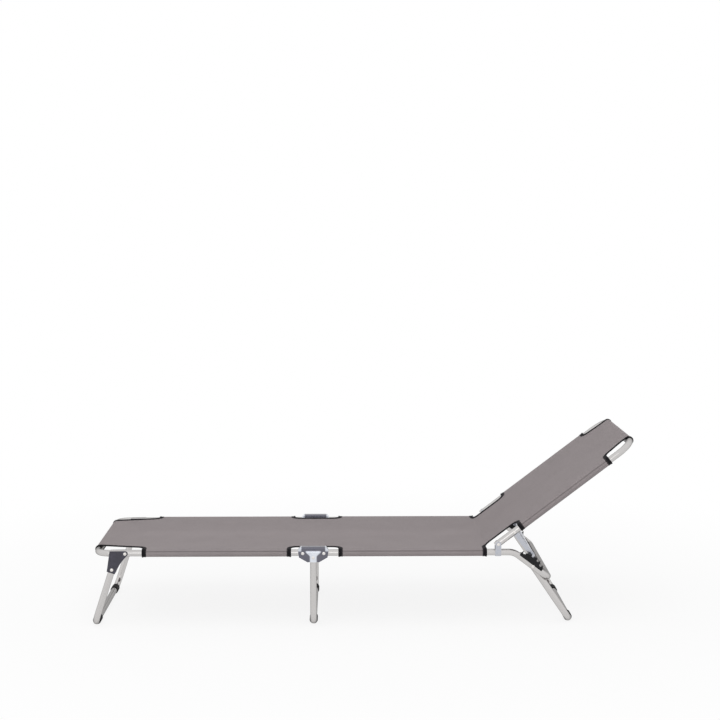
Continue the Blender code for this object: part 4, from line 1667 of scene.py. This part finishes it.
    def straight(self, first: float, last: float) -> list[Point]:
        """A notch's straight edge between two places along the cloth, without its ends."""
        room = self.notch_clear
        return [(u, self.edge(u)) for u in self.rows() if first + room < u < last - room]

    def notches(self) -> list[list[Point]]:
        """The four taped edges of the far side, from foot to head.

        Returns:
            Points (u, v) of each edge.
        """
        foot, seat, back = self.sleeves
        size = self.corner
        whole = self.path.length
        lines = [[(0.0, self.edge(0.0))] + self.straight(0.0, foot[0] - size)]
        lines[0] += list(reversed(self.descent(foot[0], -1.0)))
        for before, after in ((foot, seat), (seat, back)):
            line = self.descent(before[1], 1.0) + self.straight(before[1] + size, after[0] - size)
            lines.append(line + list(reversed(self.descent(after[0], -1.0))))
        last = self.descent(back[1], 1.0) + self.straight(back[1] + size, whole)
        lines.append(last + [(whole, self.edge(whole))])
        return lines

    def far_edge(self) -> list[Point]:
        """The whole far edge of the cloth, from foot to head.

        Returns:
            Points (u, v) along it.
        """
        lines = self.notches()
        edge = list(lines[0])
        room = self.sleeve_clear
        for (first, last), line in zip(self.sleeves, lines[1:]):
            edge += [(u, self.full) for u in self.rows() if first + room < u < last - room]
            edge += line
        return edge

    @staticmethod
    def clip(line: Sequence[Point], start: float, end: float) -> list[Point]:
        """The part of a line between two places along the cloth, with its cut ends.

        Args:
            line: Points (u, v) from foot to head.
            start: Where the part begins.
            end: Where it ends.

        Returns:
            The points that are kept.
        """
        kept: list[Point] = []
        for index, (u, v) in enumerate(line):
            if index:
                before = line[index - 1]
                for cut in (start, end):
                    if before[0] < cut < u:
                        share = (cut - before[0]) / (u - before[0])
                        kept.append((cut, before[1] + share * (v - before[1])))
            if start <= u <= end:
                kept.append((u, v))
        return kept

    def inside(self, u: float, v: float, panel: Panel) -> bool:
        """Whether a point lies well inside the panel.

        Args:
            u: Distance along the cloth.
            v: Distance from its middle line.
            panel: The stretch of the sling.

        Returns:
            True if it does.
        """
        room = self.inner_clear
        if not panel.start + room < u < panel.end - room:
            return False
        for first, last in self.sleeves:
            if first + room < u < last - room:
                return v < self.full - self.hem_clear
            near_end = first - self.corner <= u <= last + self.corner
            if near_end and v > self.edge(u) - self.corner_clear:
                return False
        return v < self.edge(u) - room

    def polygon(self, panel: Panel) -> list[Point]:
        """The panel's outline on the flat, anticlockwise.

        Args:
            panel: The stretch of the sling.

        Returns:
            Points (u, v) round it.
        """
        far = self.clip(self.far_edge(), panel.start, panel.end)
        near = [(u, -v) for u, v in far]
        both = self.both_columns()
        room = self.cut_clear
        first = [(panel.start, v) for v in reversed(both) if abs(v) < far[0][1] - room]
        last = [(panel.end, v) for v in both if abs(v) < far[-1][1] - room]
        return near + last + list(reversed(far)) + first

    def cloth(self, panel: Panel) -> tuple[bpy.types.Object, float]:
        """Make a panel's cloth.

        Args:
            panel: The stretch of the sling.

        Returns:
            The cloth with its two faces, and its area on the flat.
        """
        border = self.polygon(panel)
        both = self.both_columns()
        fill = [(u, v) for u in self.rows() for v in both if self.inside(u, abs(v), panel)]
        flat = [Vector(point) for point in border + fill]
        loop = list(range(len(border)))
        found = delaunay_2d_cdt(flat, [], [loop], 1, self.merge)
        spots, faces = found[0], found[2]
        area = sum(abs((spots[b] - spots[a]).cross(spots[c] - spots[a])) / 2 for a, b, c in faces)
        shape = bmesh.new()
        map_layer = shape.loops.layers.uv.new("cloth")
        top = [shape.verts.new(self.lift(u, v, self.thick - self.seam_depth(v))) for u, v in spots]
        dip = self.seam_under
        under = [shape.verts.new(self.lift(u, v, -self.seam_depth(v) * dip)) for u, v in spots]
        count = len(spots)
        edges: dict[tuple[int, int], tuple[int, int]] = {}
        for face in faces:
            shape.faces.new([top[index] for index in face])
            shape.faces.new([under[index] for index in reversed(face)])
            for first, last in zip(face, [*face[1:], face[0]]):
                key = (min(first, last), max(first, last))
                if key in edges:
                    del edges[key]
                else:
                    edges[key] = (first, last)
        for first, last in edges.values():
            shape.faces.new((top[last], top[first], under[first], under[last]))
        shape.verts.index_update()
        for face in shape.faces:
            for corner in face.loops:
                spot = spots[corner.vert.index % count]
                corner[map_layer].uv = spot
        # seam value that darkens the cloth's colour: painted shade along the seam's groove
        seam_layer = shape.verts.layers.float.new("seam")
        for index, vert in enumerate(shape.verts):
            vert[seam_layer] = self.seam_depth(spots[index % count][1]) / self.seam_dip
        bmesh.ops.recalc_face_normals(shape, faces=shape.faces)
        return PieceMaker().from_bmesh("cloth_" + panel.name, shape, self.wardrobe.cloth), area

    def tape_ring(self) -> list[Point]:
        """The folded tape's section, as (distance in from the cloth's edge, height).

        Returns:
            The section's points, as a closed ring.
        """
        over = self.thick + self.tape_thick
        rolled = over + self.tape_roll
        low = -0.0004
        return [
            (self.tape, self.thick - 0.0002),
            (self.tape - 0.0004, over - 0.0001),
            (self.tape * 0.55, over),
            (0.0042, over + 0.0002),
            (0.0022, rolled),
            (0.0004, rolled),
            (-0.0010, rolled - 0.0007),
            (-0.0014, self.thick * 0.6),
            (-0.0008, low + 0.0003),
            (0.0010, low),
            (self.tape * 0.55, low),
            (self.tape, low + 0.0001),
        ]

    @staticmethod
    def inward(line: Sequence[Point]) -> list[Vector]:
        """Directions from a taped edge into the cloth, for far side lines that run from foot to head.

        Args:
            line: Points (u, v) of the edge.

        Returns:
            One direction for each point.
        """
        found = []
        for index in range(len(line)):
            before = Vector(line[max(0, index - 1)])
            after = Vector(line[min(len(line) - 1, index + 1)])
            way = (after - before).normalized()
            found.append(Vector((way.y, -way.x)))
        return found

    def tapes(self, panel: Panel) -> bpy.types.Object:
        """Fold black tape over every cut edge of a panel.

        Args:
            panel: The stretch of the sling.

        Returns:
            The panel's tape, as one piece.
        """
        maker = PieceMaker()
        whole = bmesh.new()
        profile = self.tape_ring()
        for notch in self.notches():
            line = self.clip(notch, panel.start, panel.end)
            if len(line) < 3:
                continue
            walked = [0.0]
            for before, after in zip(line, line[1:]):
                walked.append(walked[-1] + math.dist(before, after))
            for side in Side:
                rings = []
                for (u, v), way in zip(line, self.inward(line)):
                    ring = []
                    for depth, height in profile:
                        spot = Vector((u, v)) + way * depth
                        spot.x = min(max(spot.x, panel.start), panel.end)
                        spot.y = min(spot.y, self.full)
                        ring.append(self.lift(spot.x, side.value * spot.y, height))
                    rings.append(ring)
                strip = maker.loft(rings)
                strip.verts.index_update()
                map_layer = strip.loops.layers.uv.new("cloth")
                for face in strip.faces:
                    for corner in face.loops:
                        row, column = divmod(corner.vert.index, len(profile))
                        corner[map_layer].uv = (walked[row], profile[column][0])
                maker.join(whole, strip)
        return maker.from_bmesh("tape_" + panel.name, whole, self.wardrobe.binding)

    def stitch(self) -> bpy.types.Object:
        """One stitch along X: a short bead that dives at both ends.

        Returns:
            The stitch, which is copied along the seams and then removed.
        """
        rings = []
        length = self.stitch_pitch * self.stitch_half
        for step in range(self.stitch_rings):
            share = -1 + 2 * step / (self.stitch_rings - 1)
            wide = self.stitch_radius * math.sqrt(self.stitch_blunt - share * share)
            ring = []
            for turn in range(self.stitch_sides):
                angle = math.tau * turn / self.stitch_sides
                ring.append(Vector((share * length, wide * math.cos(angle), wide * math.sin(angle))))
            rings.append(ring)
        return PieceMaker().from_bmesh("stitch", PieceMaker().loft(rings), self.wardrobe.thread)

    def seam_lines(self, panel: Panel) -> list[list[Vector]]:
        """Lines that the stitches of a panel follow: along the sleeves and the tape.

        Args:
            panel: The stretch of the sling.

        Returns:
            Points of each line.
        """
        lines = []
        room = self.tape + self.stitch_clear
        for first, last in self.sleeves:
            start = max(first + room, panel.start)
            end = min(last - room, panel.end)
            if end - start < self.tape:
                continue
            marks = [u for u in self.rows() if start < u < end]
            for side in Side:
                height = self.thick - self.seam_dip * self.seam_bed
                lines.append([self.lift(u, side.value * self.seam, height) for u in [start, *marks, end]])
        for notch in self.notches():
            line = self.clip(notch, panel.start, panel.end)
            if len(line) < 3:
                continue
            inset = self.tape - self.stitch_inset
            height = self.thick + self.tape_thick
            for side in Side:
                run = []
                for (u, v), way in zip(line, self.inward(line)):
                    spot = Vector((u, v)) + way * inset
                    if panel.start <= spot.x <= panel.end and spot.y < self.full:
                        run.append(self.lift(spot.x, side.value * spot.y, height))
                lines.append(run)
        return [line for line in lines if len(line) > 1]

    def panels(self) -> list[Panel]:
        """The sling's three stretches: foot, seat and back.

        Returns:
            The panels, from foot to head.
        """
        plan = self.layout
        path = self.path
        level = plan.rail_height
        hinge = path.by_x(plan.hinge_x)
        join = path.by_x(self.seat_join)
        foot_x = plan.hinge_x - plan.hinge_half
        seat_x = plan.hinge_x + plan.hinge_half
        place, _ = path.crisp(path.fold)
        half = plan.recline / 2
        slope = Vector((math.cos(half), 0.0, math.sin(half))) * self.back_bend
        bend = self.hinge_bend
        return [
            Panel(
                "foot",
                0.0,
                hinge,
                ("foot_section", "mid_hinge"),
                (foot_x - bend, 0.0, level),
                (foot_x + bend, 0.0, level),
                ("sling_foot",),
            ),
            Panel(
                "seat",
                hinge,
                join,
                ("mid_hinge", "seat"),
                (seat_x - bend, 0.0, level),
                (seat_x + bend, 0.0, level),
                ("sling_middle", "sling_seat"),
            ),
            Panel(
                "back",
                join,
                path.length,
                ("seat", "backrest"),
                tuple(place - slope),
                tuple(place + slope),
                ("sling_back",),
            ),
        ]

    def build(self) -> None:
        """Make the three panels with their tape and stitches, and hide the sling's nodes of the frame."""
        stitch = self.stitch()
        recipe = StitchRecipe()
        maker = PieceMaker()
        for panel in self.panels():
            cloth, area = self.cloth(panel)
            tape = self.tapes(panel)
            line = maker.polyline(panel.name + "_seams", self.seam_lines(panel))
            values = {"Shape": stitch, "Pitch": self.stitch_pitch, "Finish": self.wardrobe.thread}
            thread = recipe.run("thread_" + panel.name, line, values, self.stitch_sharp)
            for piece in (cloth, tape, thread):
                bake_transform(piece)
            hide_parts(*panel.nodes)
            size = (2 * self.full, panel.end - panel.start)
            LOG.info("%s: %d faces, %.3f square metres", cloth.name, len(cloth.data.polygons), area)
        bpy.data.objects.remove(stitch)


@dataclass
class Studio:
    """Pale floor, white surround, three soft lamps and the camera."""

    eye: tuple[float, float, float] = (-0.0816, -5.5935, 1.4355)
    pitch: float = math.radians(84.343)
    turn: float = -0.0137
    lens: float = 80.04
    sensor: float = 36.0
    sight: float = 100.0
    floor_half: float = 30.0
    floor_colour: Colour = (0.9, 0.9, 0.9)
    floor_roughness: float = 0.9
    floor_glow: float = 0.87
    fade_from: float = 0.7
    fade_to: float = 2.6
    world_level: float = 0.55
    top_watts: float = 94.0
    top_size: float = 5.0
    top_place: tuple[float, float, float] = (-0.6, -2.2, 4.2)
    gleam_watts: float = 32.0
    gleam_size: float = 4.4
    front_watts: float = 16.0
    front_size: float = 2.4
    front_place: tuple[float, float, float] = (-0.9, -5.6, 1.9)
    lamp_aim: tuple[float, float, float] = (0.0, 0.0, 0.25)

    def seen(self, sheet: Sheet) -> Wire:
        """1 for rays of the camera, of gloss and of glass, 0 for rays that light the scene.

        Args:
            sheet: Adds the nodes.

        Returns:
            The mask.
        """
        rays = sheet.add("ShaderNodeLightPath")
        names = ("Is Camera Ray", "Is Glossy Ray", "Is Transmission Ray")
        camera, gloss, glass = (Wire(sheet, rays.outputs[name]) for name in names)
        return (camera + gloss + glass).clamped()

    def surround(self) -> None:
        """A white world to look at, and a plain level of light from it."""
        world = bpy.data.worlds.new("studio")
        world.use_nodes = True
        sheet = Sheet(world.node_tree)
        background = world.node_tree.nodes["Background"]
        background.inputs["Color"].default_value = WHITE
        level = self.world_level + self.seen(sheet) * (1.0 - self.world_level)
        sheet.feed(background.inputs["Strength"], level)
        bpy.context.scene.world = world

    def floor(self) -> None:
        """A pale floor that keeps the lounger's shadow."""
        material = PlainGround("studio_floor", self.floor_colour, self.floor_roughness).make()
        sheet = Sheet(material.node_tree)
        shader = material.node_tree.nodes["Principled BSDF"]
        target = material.node_tree.nodes["Material Output"]
        glow = sheet.add("ShaderNodeEmission", None, {"Color": WHITE, "Strength": 1.0})
        place = sheet.objects_place()
        spread = sheet.wire("ShaderNodeVectorMath", {"operation": "LENGTH"}, {0: place}, "Value")
        fade = spread.ramp(self.fade_from, self.fade_to)
        share = self.seen(sheet) * (self.floor_glow + fade * (1.0 - self.floor_glow))
        sockets = {0: share, 1: shader.outputs[0], 2: glow.outputs[0]}
        mixed = sheet.add("ShaderNodeMixShader", None, sockets)
        sheet.feed(target.inputs["Surface"], mixed.outputs[0])
        half = self.floor_half
        mesh = bpy.data.meshes.new("studio_floor")
        corners = [(-half, -half, 0.0), (half, -half, 0.0), (half, half, 0.0), (-half, half, 0.0)]
        mesh.from_pydata(corners, [], [(0, 1, 2, 3)])
        mesh.materials.append(material)
        floor = bpy.data.objects.new("studio_floor", mesh)
        bpy.context.scene.collection.objects.link(floor)

    def lamp(
        self, name: str, watts: float, size: float, place: tuple[float, float, float], gleam: bool
    ) -> None:
        """Hang a square soft lamp that faces the lounger.

        Args:
            name: The lamp's name.
            watts: Its power.
            size: Its side.
            place: Where it hangs.
            gleam: Whether metal mirrors it.
        """
        light = bpy.data.lights.new(name, "AREA")
        light.shape = "SQUARE"
        light.size = size
        light.energy = watts
        item = bpy.data.objects.new(name, light)
        item.location = place
        way = Vector(self.lamp_aim) - Vector(place)
        item.rotation_euler = way.to_track_quat("-Z", "Y").to_euler()
        item.visible_glossy = gleam
        bpy.context.scene.collection.objects.link(item)

    def camera(self) -> None:
        """The camera at the photograph's viewing angle."""
        lens = bpy.data.cameras.new("studio_camera")
        lens.lens = self.lens
        lens.sensor_width = self.sensor
        lens.clip_end = self.sight
        item = bpy.data.objects.new("studio_camera", lens)
        item.location = self.eye
        item.rotation_euler = (self.pitch, 0.0, self.turn)
        bpy.context.scene.collection.objects.link(item)
        bpy.context.scene.camera = item

    def build(self) -> None:
        """Set up the whole studio."""
        self.surround()
        self.floor()
        self.lamp("top_lamp", self.top_watts, self.top_size, self.top_place, False)
        self.lamp("gleam_lamp", self.gleam_watts, self.gleam_size, self.top_place, True)
        self.lamp("front_lamp", self.front_watts, self.front_size, self.front_place, True)
        self.camera()
        bpy.context.scene.view_settings.view_transform = "Standard"


def main() -> None:
    """Load the frame, build every sub-assembly on it and note the sizes."""
    logging.basicConfig(level=logging.INFO, format="%(name)s: %(message)s")
    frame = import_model()
    wardrobe = Wardrobe()
    layout = Layout()
    Studio().build()
    Tubework(layout, wardrobe).build()
    Rivets(wardrobe).build()
    FloorPads(wardrobe).build()
    MidChannel(layout, wardrobe).build()
    BackStrap(layout, wardrobe).build()
    KeptPieces(wardrobe).build(frame["nodes"])
    Sling(layout, wardrobe).build()


if __name__ == "__main__":
    main()
